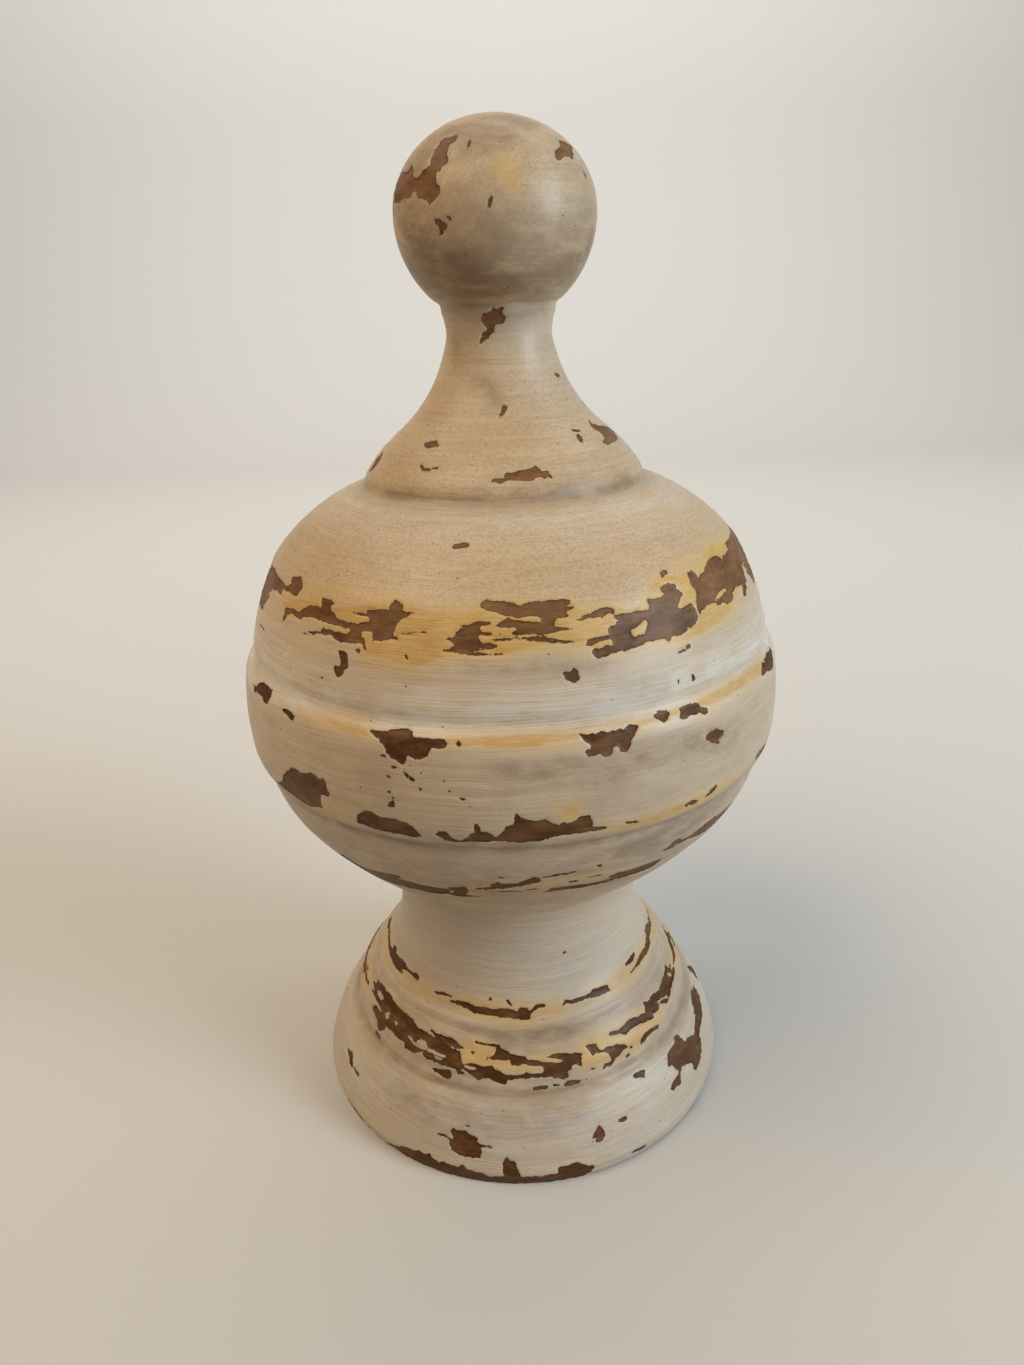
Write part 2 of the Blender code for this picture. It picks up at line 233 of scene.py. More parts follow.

# The bigger chips as outlines, read off the enlargements: each is its enlargement and its corners in enlarged pixels
PATCHES = {
    "ball, streak": (
        BALL,
        ((520, 175), (500, 220), (465, 235), (445, 270), (440, 330), (455, 365), (430, 385), (400, 400), (395, 425)),
        ((365, 440), (355, 480), (360, 520), (385, 545), (388, 590), (355, 640), (318, 670), (290, 640), (240, 625)),
        ((215, 570), (190, 590), (175, 620), (130, 625), (95, 665), (70, 640), (55, 560), (65, 490), (125, 410)),
        ((140, 445), (160, 445), (190, 400), (200, 440), (195, 480), (240, 490), (265, 440), (310, 405), (340, 320)),
        ((390, 240), (415, 205), (460, 190)),
    ),
    "ball, right chip": (
        BALL,
        ((1245, 215), (1290, 230), (1330, 250), (1340, 290), (1335, 345), (1305, 325), (1280, 330), (1255, 355)),
        ((1225, 350), (1215, 290), (1250, 260)),
    ),
    "ball, slit": (BALL, ((755, 610), (765, 625), (757, 665), (745, 700), (736, 690), (738, 640))),
    "ball, drop": (
        BALL,
        ((355, 785), (395, 785), (440, 820), (435, 850), (410, 865), (405, 900), (390, 895), (395, 850), (375, 825)),
    ),
    "collar, long chip": (
        COLLAR,
        ((590, 570), (620, 550), (680, 545), (690, 510), (740, 510), (800, 495), (850, 480), (885, 465), (915, 480)),
        ((920, 500), (960, 495), (1000, 545), (960, 530), (945, 550), (920, 530), (880, 540), (880, 555), (730, 555)),
        ((690, 560), (655, 575), (620, 562)),
    ),
    "collar, right chip": (
        COLLAR,
        ((1235, 165), (1270, 185), (1330, 205), (1385, 205), (1400, 240), (1420, 270), (1410, 300), (1380, 305)),
        ((1360, 325), (1325, 310), (1340, 280), (1310, 240), (1260, 215)),
    ),
    "collar, left chip": (COLLAR, ((155, 325), (170, 305), (240, 298), (252, 335), (215, 340), (180, 352))),
    "dome, right chip": (SHOULDER_RIGHT, ((705, 570), (735, 548), (772, 550), (765, 575), (740, 588), (722, 608))),
    "shoulder, left edge": (
        SHOULDER_LEFT,
        ((235, 165), (270, 215), (280, 260), (330, 320), (375, 370), (385, 385), (430, 350), (435, 290), (450, 275)),
        ((490, 290), (520, 270), (540, 285), (555, 390), (520, 430), (495, 485), (460, 470), (375, 430), (360, 400)),
        ((335, 420), (320, 460), (290, 425), (240, 410), (205, 450), (200, 500), (170, 550), (140, 560), (130, 625)),
        ((100, 590), (105, 500), (125, 400), (160, 300)),
    ),
    "shoulder, left streak and block": (
        SHOULDER_LEFT,
        ((335, 755), (345, 700), (370, 610), (400, 605), (450, 625), (500, 640), (545, 625), (600, 590), (650, 585)),
        ((700, 595), (740, 620), (755, 560), (755, 490), (800, 505), (885, 545), (880, 565), (845, 580), (835, 630)),
        ((885, 665), (905, 710), (960, 735), (1010, 765), (1060, 760), (1120, 770), (1240, 760), (1250, 745)),
        ((1245, 692), (1160, 678), (1080, 658), (1085, 643), (1160, 660), (1235, 678), (1215, 640), (1225, 620)),
        ((1300, 625), (1440, 625), (1480, 560), (1520, 525), (1596, 578), (1586, 645), (1706, 645), (1636, 698)),
        ((1586, 708), (1536, 758), (1505, 847), (1484, 888), (1540, 900), (1545, 935), (1450, 920), (1440, 937)),
        ((1350, 945), (1190, 935), (1215, 1030), (1200, 1052), (1175, 1010), (1165, 960), (1120, 975), (985, 960)),
        ((945, 967), (920, 940), (880, 920), (840, 882), (790, 885), (750, 870), (755, 820), (850, 840), (940, 865)),
        ((980, 875), (1040, 860), (1045, 815), (980, 805), (860, 770), (720, 725), (640, 700), (555, 690)),
        ((530, 722), (480, 690), (430, 650), (390, 680), (360, 720)),
    ),
    "under the ochre, left": (
        SHOULDER_LEFT,
        ((930, 1060), (990, 1050), (1015, 1100), (1022, 1220), (985, 1250), (960, 1310), (920, 1320), (885, 1290)),
        ((880, 1240), (895, 1210), (935, 1215), (950, 1150)),
    ),
    "shoulder, middle cluster": (
        SHOULDER_MIDDLE,
        ((583, 890), (650, 872), (640, 845), (597, 828), (640, 823), (660, 800), (700, 780), (665, 765), (730, 757)),
        ((765, 741), (840, 741), (838, 756), (785, 761), (780, 793), (890, 798), (830, 809), (775, 806), (775, 855)),
        ((850, 855), (878, 870), (850, 881), (775, 878), (740, 899), (905, 909), (740, 914), (650, 900)),
    ),
    "shoulder, long streak": (
        SHOULDER_MIDDLE,
        ((782, 660), (800, 635), (830, 627), (900, 635), (960, 640), (975, 662), (1005, 655), (1040, 640)),
        ((1100, 635), (1160, 628), (1258, 624), (1255, 640), (1235, 660), (1278, 665), (1240, 680), (1235, 705)),
        ((1288, 710), (1190, 720), (1170, 745), (1175, 768), (1278, 776), (1190, 786), (1110, 806), (948, 808)),
        ((980, 780), (970, 769), (858, 766), (890, 745), (925, 725), (955, 716), (900, 700), (840, 680), (815, 675)),
    ),
    "shoulder, streak right of it": (
        SHOULDER_RIGHT,
        ((58, 942), (110, 905), (180, 880), (240, 853), (300, 843), (342, 860), (340, 880), (290, 890), (260, 922)),
        ((220, 912), (150, 922)),
    ),
    "shoulder, right block": (
        SHOULDER_RIGHT,
        ((325, 912), (375, 905), (450, 885), (560, 863), (620, 865), (625, 820), (613, 780), (660, 772), (720, 770)),
        ((745, 735), (720, 715), (710, 690), (735, 660), (775, 648), (825, 660), (840, 690), (882, 735), (860, 790)),
        ((835, 850), (880, 860), (950, 813), (975, 840), (1000, 870), (1000, 930), (985, 975), (950, 995)),
        ((925, 990), (920, 1020), (880, 1055), (800, 1062), (780, 1120), (745, 1080), (700, 1090), (600, 1110)),
        ((550, 1135), (430, 1180), (380, 1192), (330, 1205), (290, 1225), (215, 1237), (180, 1215), (170, 1180)),
        ((190, 1163), (230, 1175), (290, 1140), (330, 1145), (332, 1097), (270, 1095), (128, 1147), (140, 1100)),
        ((220, 1080), (310, 1062), (300, 1030), (320, 995), (350, 985), (397, 933)),
    ),
    "shoulder, far right block": (
        SHOULDER_RIGHT,
        ((1235, 165), (1262, 250), (1225, 335), (1250, 380), (1230, 415), (1190, 462), (1150, 433), (1110, 455)),
        ((1075, 490), (1060, 550), (1010, 607), (965, 558), (942, 545), (945, 580), (918, 558), (930, 600)),
        ((955, 670), (985, 690), (1000, 740), (1000, 850), (1020, 897), (1045, 850), (1090, 815), (1140, 790)),
        ((1150, 750), (1190, 700), (1222, 683), (1225, 710), (1190, 760), (1150, 800), (1155, 828), (1200, 795)),
        ((1240, 812), (1270, 800), (1285, 760), (1275, 720), (1300, 680), (1345, 660), (1360, 690), (1362, 740)),
        ((1380, 747), (1387, 700), (1377, 650), (1392, 620), (1370, 570), (1345, 520), (1360, 488), (1385, 540)),
        ((1420, 600), (1440, 655), (1455, 590), (1450, 510), (1405, 400), (1350, 300), (1290, 215)),
    ),
    "under the ochre, middle": (
        BAND_RIGHT,
        ((843, 168), (870, 165), (887, 173), (910, 148), (925, 155), (938, 180), (930, 217), (905, 222), (880, 207)),
        ((862, 215), (868, 193)),
    ),
    "band, far left": (
        BAND_LEFT,
        ((128, 232), (150, 250), (180, 215), (215, 203), (255, 235), (297, 280), (285, 330), (270, 370), (245, 405)),
        ((225, 390), (215, 345), (170, 310), (150, 285), (138, 300)),
    ),
    "band, left bit": (
        BAND_LEFT,
        ((393, 453), (420, 453), (455, 470), (505, 515), (492, 557), (455, 545), (440, 510), (400, 485)),
    ),
    "band, low left": (
        BAND_LEFT,
        ((345, 1130), (388, 1122), (400, 1060), (450, 1025), (470, 998), (520, 1010), (555, 1040), (600, 1050)),
        ((640, 1038), (690, 1060), (720, 1100), (750, 1112), (758, 1083), (790, 1130), (805, 1200), (832, 1240)),
        ((800, 1262), (742, 1230), (735, 1260), (755, 1362), (690, 1350), (650, 1355), (560, 1300), (460, 1230)),
    ),
    "band, top left": (
        BAND_MIDDLE,
        ((248, 298), (340, 310), (385, 303), (410, 318), (440, 295), (520, 285), (610, 278), (650, 300), (657, 357)),
        ((700, 375), (880, 390), (920, 380), (970, 385), (997, 420), (985, 462), (850, 475), (825, 510), (800, 545)),
        ((715, 589), (670, 568), (615, 545), (580, 620), (555, 633), (500, 590), (440, 555), (400, 500), (380, 430)),
        ((345, 418), (345, 385), (300, 360)),
    ),
    "band, top right": (
        BAND_RIGHT,
        ((940, 488), (975, 500), (1005, 487), (1020, 500), (1050, 473), (1075, 485), (1130, 473), (1150, 452)),
        ((1165, 470), (1190, 447), (1240, 447), (1238, 468), (1215, 510), (1187, 585), (1150, 580), (1155, 562)),
        ((1120, 545), (1115, 575), (1110, 600), (1080, 610), (1040, 597), (1015, 602), (985, 610), (966, 585)),
        ((975, 570), (1000, 565), (990, 545), (960, 522)),
    ),
    "band, right of it": (BAND_RIGHT, ((1326, 395), (1350, 375), (1392, 363), (1407, 380), (1400, 412), (1380, 430))),
    "band, farther right": (
        BAND_RIGHT,
        ((1461, 360), (1490, 340), (1555, 330), (1570, 350), (1605, 356), (1612, 375), (1592, 392), (1570, 380)),
        ((1515, 398), (1480, 415), (1465, 405), (1470, 380)),
    ),
    "band, over the step, left": (
        BAND_MIDDLE,
        ((118, 1200), (125, 1133), (160, 1100), (210, 1087), (260, 1100), (310, 1130), (355, 1155), (480, 1167)),
        ((600, 1210), (660, 1250), (710, 1290), (747, 1337), (680, 1347), (600, 1325), (400, 1288), (280, 1258)),
    ),
    "band, triangle": (BAND_MIDDLE, ((412, 1047), (430, 1020), (463, 990), (470, 950), (484, 1000), (482, 1042))),
    "band, over the step, right": (
        BAND_RIGHT,
        ((185, 1018), (205, 1003), (240, 1008), (270, 1038), (310, 1052), (350, 1038), (365, 1018), (393, 1008)),
        ((385, 968), (403, 958), (415, 975), (420, 1010), (450, 1008), (480, 1023), (500, 1036), (540, 1003)),
        ((560, 980), (590, 970), (605, 912), (640, 935), (700, 953), (760, 943), (830, 975), (850, 953), (880, 965)),
        ((910, 950), (945, 925), (990, 918), (1003, 950), (1000, 980), (1092, 977), (1000, 1002), (850, 1022)),
        ((790, 1032), (730, 1052), (640, 1057), (480, 1053), (300, 1055), (230, 1045)),
    ),
    "bowl's edge, left": (
        BOWL_LEFT,
        ((118, 122), (150, 130), (200, 160), (255, 198), (330, 228), (480, 260), (530, 275), (510, 286), (600, 312)),
        ((700, 335), (850, 356), (848, 380), (790, 388), (700, 374), (560, 340), (430, 298), (380, 282), (280, 230)),
        ((180, 168), (128, 140)),
    ),
    "bowl's edge, square": (
        BOWL_LEFT,
        ((840, 345), (890, 346), (950, 338), (967, 365), (952, 392), (1040, 402), (905, 402), (840, 388), (880, 372)),
    ),
    "bowl's edge, middle": (
        BOWL_LEFT,
        ((1005, 350), (1110, 343), (1125, 322), (1165, 311), (1182, 322), (1290, 318), (1370, 290), (1400, 277)),
        ((1442, 284), (1430, 309), (1330, 332), (1210, 349), (1080, 359)),
    ),
    "bowl's edge, low right": (
        BOWL_RIGHT,
        ((490, 618), (560, 590), (640, 573), (700, 553), (790, 520), (862, 494), (845, 514), (800, 548), (740, 578)),
        ((640, 608), (560, 632), (430, 668), (330, 692), (200, 708), (80, 722), (20, 728), (85, 711), (300, 678)),
        ((420, 655), (500, 632)),
    ),
    "bowl's edge, right": (
        BOWL_RIGHT,
        ((866, 440), (920, 405), (945, 373), (990, 350), (1017, 362), (1060, 335), (1110, 298), (1160, 258)),
        ((1240, 193), (1260, 188), (1330, 128), (1397, 62), (1352, 122), (1312, 168), (1260, 228), (1200, 278)),
        ((1140, 318), (1050, 348), (1000, 378), (930, 415)),
    ),
    "arris, left": (
        FOOT_LEFT,
        ((232, 370), (258, 400), (270, 330), (285, 360), (283, 420), (340, 480), (385, 540), (415, 570), (440, 565)),
        ((462, 605), (450, 632), (405, 590), (370, 547), (330, 545), (325, 572), (280, 527), (250, 475)),
    ),
    "arris, middle": (
        FOOT_LEFT,
        ((700, 788), (760, 793), (830, 803), (900, 830), (980, 840), (1050, 860), (1110, 848), (1170, 850)),
        ((1230, 880), (1255, 848), (1310, 853), (1337, 885), (1330, 938), (1250, 932), (1050, 907), (960, 892)),
        ((862, 880), (900, 868), (830, 850), (780, 825)),
    ),
    "arris, right": (
        FOOT_RIGHT,
        ((253, 828), (270, 788), (330, 788), (390, 768), (440, 743), (480, 735), (490, 705), (550, 688), (610, 668)),
        ((627, 710), (590, 730), (480, 767), (400, 787), (330, 812), (280, 808)),
    ),
    "arris, far right": (
        FOOT_RIGHT,
        ((795, 567), (830, 510), (860, 440), (880, 400), (912, 368), (905, 300), (903, 210), (913, 70), (942, 150)),
        ((957, 200), (937, 260), (947, 320), (920, 410), (880, 462), (845, 512)),
    ),
    "arris, slit": (FOOT_RIGHT, ((750, 508), (790, 440), (815, 410), (822, 430), (800, 482), (775, 502))),
    "bead, left": (
        FOOT_LEFT,
        ((108, 660), (130, 638), (160, 650), (200, 700), (240, 745), (300, 840), (360, 890), (420, 940), (450, 1000)),
        ((520, 1040), (560, 1070), (640, 1110), (690, 1150), (740, 1180), (780, 1185), (790, 1240), (805, 1290)),
        ((860, 1280), (940, 1300), (985, 1310), (1030, 1298), (1060, 1330), (1100, 1350), (1150, 1380)),
        ((1230, 1383), (1300, 1358), (1350, 1368), (1470, 1362), (1480, 1390), (1340, 1392), (1250, 1402)),
        ((1160, 1410), (1137, 1445), (1080, 1430), (1020, 1402), (960, 1392), (930, 1412), (890, 1387), (850, 1352)),
        ((800, 1322), (780, 1332), (812, 1362), (770, 1362), (740, 1322), (640, 1292), (520, 1242), (488, 1217)),
        ((500, 1180), (460, 1185), (430, 1197), (345, 1152), (355, 1117), (310, 1092), (260, 1042), (200, 985)),
        ((185, 1024), (150, 1024), (135, 990), (140, 950), (93, 860), (105, 828), (130, 833), (165, 890)),
        ((180, 882), (140, 800), (103, 728), (125, 710)),
    ),
    "bead, strip over it": (
        FOOT_LEFT,
        ((553, 1013), (600, 1045), (660, 1070), (720, 1083), (750, 1105), (770, 1130), (818, 1167), (760, 1162)),
        ((700, 1137), (640, 1107), (580, 1062)),
    ),
    "bead, drop under it": (
        FOOT_LEFT,
        ((568, 1320), (620, 1330), (700, 1335), (717, 1365), (700, 1402), (660, 1397), (630, 1372), (590, 1347)),
    ),
    "bead, middle": (
        FOOT_RIGHT,
        ((-350, 1247), (-273, 1210), (-268, 1148), (-243, 1150), (-193, 1185), (-133, 1215), (-43, 1235), (-13, 1255)),
        ((60, 1262), (110, 1278), (170, 1273), (215, 1285), (268, 1257), (240, 1238), (120, 1230), (200, 1210)),
        ((280, 1203), (402, 1198), (400, 1303), (355, 1280), (325, 1300), (320, 1335), (300, 1345), (300, 1382)),
        ((270, 1407), (230, 1397), (120, 1388), (100, 1360), (115, 1330), (100, 1305), (60, 1300), (-43, 1284)),
        ((-93, 1294), (-143, 1299), (-150, 1257)),
    ),
    "bead, right bits": (
        FOOT_RIGHT,
        ((430, 1150), (480, 1130), (520, 1123), (535, 1170), (570, 1180), (600, 1150), (680, 1133), (740, 1133)),
        ((767, 1155), (730, 1180), (700, 1220), (660, 1255), (650, 1290), (600, 1312), (570, 1327), (580, 1290)),
        ((640, 1270), (640, 1235), (615, 1200), (590, 1187), (530, 1197), (490, 1217), (470, 1180)),
    ),
    "bead, right": (
        FOOT_RIGHT,
        ((613, 1045), (700, 1020), (760, 960), (790, 935), (860, 910), (905, 880), (905, 840), (890, 808), (940, 780)),
        ((950, 750), (1010, 710), (1030, 650), (1060, 560), (1065, 488), (1085, 510), (1120, 530), (1132, 488)),
        ((1142, 560), (1120, 610), (1110, 680), (1095, 760), (1070, 802), (1015, 810), (1010, 850), (990, 872)),
        ((955, 882), (985, 925), (940, 937), (850, 972), (800, 1002), (755, 1047), (700, 1042), (625, 1062)),
    ),
    "bead, strip on its right": (
        FOOT_RIGHT,
        ((870, 1132), (870, 1090), (900, 1050), (950, 1010), (1012, 978), (1010, 1000), (960, 1032), (930, 1062)),
    ),
    "foot, right": (
        FOOT_RIGHT,
        ((1258, 705), (1280, 673), (1300, 700), (1330, 740), (1340, 820), (1352, 900), (1340, 980), (1325, 1050)),
        ((1345, 1100), (1347, 1180), (1330, 1270), (1305, 1332), (1285, 1320), (1280, 1275), (1240, 1280)),
        ((1200, 1300), (1182, 1345), (1180, 1400), (1187, 1450), (1150, 1460), (1125, 1497), (1103, 1480)),
        ((1120, 1440), (1160, 1380), (1168, 1340), (1140, 1320), (1120, 1290), (1085, 1302), (1080, 1210)),
        ((1110, 1170), (1135, 1110), (1130, 1080), (1160, 1043), (1185, 1080), (1213, 1107), (1240, 1080)),
        ((1290, 1050), (1295, 960), (1300, 900), (1285, 820), (1270, 760)),
    ),
    "foot, bit left of it": (FOOT_RIGHT, ((808, 1375), (850, 1350), (902, 1333), (897, 1392), (860, 1380), (830, 1402))),
    "foot, streak": (FOOT_RIGHT, ((265, 1452), (290, 1425), (370, 1415), (447, 1403), (380, 1437), (270, 1462))),
    "foot, low chip": (
        RIM,
        ((653, 210), (670, 201), (690, 210), (735, 213), (760, 235), (802, 250), (795, 267), (780, 268), (785, 285)),
        ((817, 310), (812, 351), (765, 355), (710, 346), (665, 312), (650, 280), (660, 262), (673, 245)),
    ),
    "foot, drop": (RIM, ((1430, 178), (1455, 210), (1463, 240), (1440, 270), (1412, 272), (1430, 253), (1399, 250))),
    "rim": (
        RIM,
        ((95, 25), (150, 110), (235, 193), (290, 258), (345, 283), (400, 320), (450, 338), (500, 345), (545, 333)),
        ((570, 370), (590, 390), (620, 373), (660, 410), (680, 440), (700, 430), (705, 398), (720, 393), (737, 415)),
        ((740, 435), (790, 431), (830, 440), (850, 456), (940, 452), (930, 425), (928, 380), (990, 370)),
        ((1000, 400), (1025, 456), (1100, 453), (1130, 470), (1150, 449), (1180, 460), (1220, 440), (1240, 410)),
        ((1300, 404), (1385, 400), (1390, 430), (1340, 455), (1250, 480), (1150, 494), (1050, 500), (950, 500)),
        ((850, 490), (750, 470), (650, 440), (560, 410), (450, 365), (340, 305), (250, 235), (160, 155), (100, 70)),
    ),
}

# Paint that still stands inside those chips, in the same way
ISLANDS = {
    "left block": (SHOULDER_LEFT, ((1168, 850), (1280, 855), (1275, 935), (1200, 930), (1157, 900))),
    "long streak": (SHOULDER_MIDDLE, ((948, 728), (1000, 717), (1060, 711), (1105, 720), (1105, 743), (1020, 739))),
    "right block": (
        SHOULDER_RIGHT,
        ((473, 1030), (520, 1000), (560, 960), (595, 933), (614, 970), (585, 1050), (530, 1055), (515, 1080)),
    ),
    "bead, top": (FOOT_LEFT, ((133, 700), (165, 718), (188, 772), (165, 783), (140, 742))),
    "bead, two spots": (FOOT_LEFT, ((193, 875), (225, 880), (235, 920), (205, 933))),
    "bead, lower spot": (FOOT_LEFT, ((267, 935), (287, 945), (295, 987), (277, 980))),
    "bead, sliver": (
        FOOT_LEFT,
        ((373, 1063), (388, 1062), (420, 1107), (480, 1138), (560, 1172), (660, 1218), (672, 1238), (520, 1184)),
        ((440, 1143), (400, 1113)),
    ),
    "bead, square": (FOOT_LEFT, ((443, 1100), (480, 1089), (516, 1110), (527, 1152), (490, 1142), (450, 1122))),
    "bead, dash": (FOOT_LEFT, ((578, 1213), (640, 1237), (642, 1257), (590, 1242))),
    "bead, end": (FOOT_LEFT, ((808, 1290), (905, 1312), (912, 1337), (860, 1332), (820, 1312))),
    "bead, right top": (FOOT_RIGHT, ((1073, 573), (1100, 568), (1112, 585), (1090, 608))),
    "bead, right low": (FOOT_RIGHT, ((998, 792), (1030, 770), (1077, 743), (1082, 770), (1050, 772), (1010, 807))),
}

# Areas rubbed through to the ochre alone, in the same way
OCHRE_AREAS = {
    "shoulder, left": (
        SHOULDER_LEFT,
        ((330, 560), (560, 520), (740, 560), (900, 600), (1080, 600), (1250, 590), (1480, 540), (1700, 560)),
        ((1700, 1160), (1560, 1170), (1440, 1120), (1290, 1060), (1200, 1000), (1100, 900), (900, 800), (700, 700)),
        ((430, 660),),
    ),
    "shoulder, middle": (
        SHOULDER_MIDDLE,
        ((370, 660), (480, 683), (600, 690), (780, 688), (900, 640), (1240, 640), (1300, 688), (1480, 676)),
        ((1568, 720), (1568, 850), (1330, 850), (1200, 856), (1060, 880), (1000, 898), (900, 915), (700, 916)),
        ((600, 926), (500, 958), (400, 972), (300, 930), (180, 900)),
    ),
    "shoulder, right": (
        SHOULDER_RIGHT,
        ((-10, 890), (340, 850), (560, 860), (600, 770), (610, 730), (630, 690), (655, 650), (665, 615), (710, 612)),
        ((760, 600), (830, 605), (880, 580), (930, 572), (990, 545)),
        ((1040, 480), (1060, 400), (1090, 350), (1150, 350), (1230, 325), (1290, 360), (1350, 560), (1290, 800)),
        ((1250, 870), (1200, 940), (1100, 1000), (1000, 1055), (900, 1110), (800, 1130), (740, 1110), (330, 1150)),
        ((130, 1160), (-10, 1125)),
    ),
    "spot on the band": (
        BOWL_RIGHT,
        ((168, 160), (180, 113), (205, 103), (243, 108), (267, 127), (263, 168), (240, 197), (208, 212), (178, 197)),
    ),
    "arris, right": (
        FOOT_RIGHT,
        ((470, 730), (600, 665), (640, 610), (720, 545), (800, 480), (860, 420), (900, 330), (925, 380), (830, 560)),
        ((760, 620), (680, 690), (590, 740)),
    ),
    "arris, left": (FOOT_LEFT, ((330, 540), (400, 560), (440, 640), (410, 650), (360, 600))),
    "arris, middle": (
        FOOT_LEFT,
        ((700, 780), (860, 790), (1000, 820), (1230, 850), (1340, 850), (1590, 820), (1590, 870), (1400, 900)),
        ((1340, 950), (1180, 950), (1000, 920), (860, 890), (760, 830)),
    ),
    "bead, right": (
        FOOT_RIGHT,
        ((400, 1130), (560, 1060), (640, 1030), (760, 950), (900, 870), (960, 880), (1010, 860), (1040, 900)),
        ((960, 960), (880, 1060), (860, 1130), (760, 1150), (640, 1250), (560, 1290), (400, 1300)),
    ),
    "bead, middle": (
        FOOT_LEFT,
        ((790, 1120), (880, 1120), (1000, 1140), (1070, 1180), (1100, 1250), (1400, 1290), (1400, 1320), (1180, 1320)),
        ((1040, 1290), (960, 1290), (810, 1270), (790, 1190)),
    ),
}

# Places rubbed through to the ochre in narrow strokes, in the same way as the chips
OCHRE_RUBS = {
    "top of the ball": (((508, 172, 0.8), (512, 180, 1.8), (514, 186, 1.0)),),
    "band's top edge, left": (((318, 716, 0.8), (335, 722, 2.0), (352, 728, 2.6), (372, 732, 1.6)),),
    "band's top edge, middle": (((445, 742, 1.2), (480, 743, 1.8), (515, 742, 2.8), (550, 740, 2.2), (585, 734, 1.4)),),
    "band's top edge, right": (((636, 724, 1.6), (672, 712, 1.6), (704, 702, 3.0), (735, 686, 2.4), (762, 664, 2.4)),),
    "step, left": (((322, 806, 0.6), (340, 815, 1.0), (354, 820, 0.6)),),
    "step, right": (((610, 829, 0.8), (640, 823, 1.4), (676, 810, 2.6), (706, 797, 1.4), (735, 778, 0.6)),),
}

# Places where the cream is so thin that the ochre shows through, in the same way
THIN_PAINT = {
    "above the shoulder's left chips": (((283, 590, 3.0), (310, 592, 6.0), (345, 594, 4.0), (400, 596, 2.0)),),
    "above the shoulder's right chips": (((650, 584, 2.0), (672, 574, 3.0), (705, 556, 4.0), (728, 535, 3.0)),),
    "band's top edge": (((300, 712, 2.0), (350, 728, 4.0), (450, 741, 4.0), (560, 738, 5.0), (660, 716, 3.0)),),
    "band's top edge, right": (((660, 716, 3.0), (715, 697, 6.0), (765, 660, 5.0)),),
    "foot's arris": (((405, 975, 1.6), (420, 988, 3.0), (450, 998, 2.0)), ((590, 1000, 2.0), (630, 980, 3.0)),),
    "bowl's edge": (((470, 888, 1.4), (505, 888, 2.6), (545, 885, 3.2), (585, 878, 2.4), (625, 870, 1.2)),),
    "bead": (((450, 1048, 2.0), (480, 1058, 4.0), (560, 1058, 4.0), (640, 1025, 4.0), (668, 985, 2.0)),),
    "ball": (((500, 158, 2.0), (507, 170, 6.0), (512, 182, 4.0)),),
}

# Places darkened, read in the same way: partly dirt from handling and dust, partly painted shade in the grooves, under
# the ball and on the right side
SMUDGES_AND_SHADE = {
    "ball's upper left": (((408, 176, 9.0), (432, 148, 14.0), (470, 134, 14.0), (520, 122, 8.0)),),
    "ball's left": (((396, 190, 3.0), (408, 222, 9.0), (432, 258, 9.0), (474, 276, 6.0)),),
    "under the ball": (((448, 279, 5.0), (500, 289, 5.0), (545, 281, 4.0)),),
    "ball's lower right": (((592, 229, 5.0), (584, 252, 9.0), (562, 274, 8.0)),),
    "neck's head": (((452, 312, 2.0), (500, 316, 3.0), (546, 311, 2.0)),),
    "neck's left": (((456, 342, 3.0), (472, 368, 8.0), (494, 400, 5.0)),),
    "collar's groove, left": (((385, 487, 0.6), (432, 494, 1.6), (482, 495, 0.8)),),
    "collar's groove, right": (((520, 493, 1.2), (560, 491, 2.6), (602, 487, 2.0), (628, 480, 0.8)),),
    "shoulder's middle": (((470, 668, 2.0), (560, 670, 3.0), (600, 664, 1.0)),),
    "band's middle": (((500, 770, 3.0), (560, 768, 4.0), (620, 775, 3.0)),),
    "under the ochre's right": (((625, 690, 3.0), (662, 682, 4.0)),),
    "band's right": (((640, 752, 5.0), (690, 748, 7.0), (730, 735, 4.0)),),
    "bowl's right": (((590, 856, 3.0), (640, 845, 5.0), (685, 826, 6.0), (720, 800, 4.0)),),
    "cove's middle": (((470, 1030, 3.0), (530, 1034, 5.0), (580, 1026, 3.0)),),
    "foot's middle": (((395, 1092, 6.0), (470, 1122, 8.0), (540, 1120, 8.0), (585, 1108, 4.0)),),
}

# The ball's left was brushed aslant, rising to the right: where that fades in and out, round the ball and down it
SLANT = math.radians(52)
SLANT_AZIMUTHS = [math.radians(angle) for angle in (-118, -84, 2, 34)]
SLANT_RUNS = (3.0 * MM, 10.0 * MM, 46.0 * MM, 60.0 * MM)

# Rings of wear that go all round: (height, width, how broken up the ring is, from 0 for whole)
OCHRE_RINGS = {
    "shoulder": (0.1862, 0.0102, 0.10),
    "foot's arris": (0.0476, 0.0020, 0.75),
    "bead": (0.0352, 0.0056, 0.62),
}

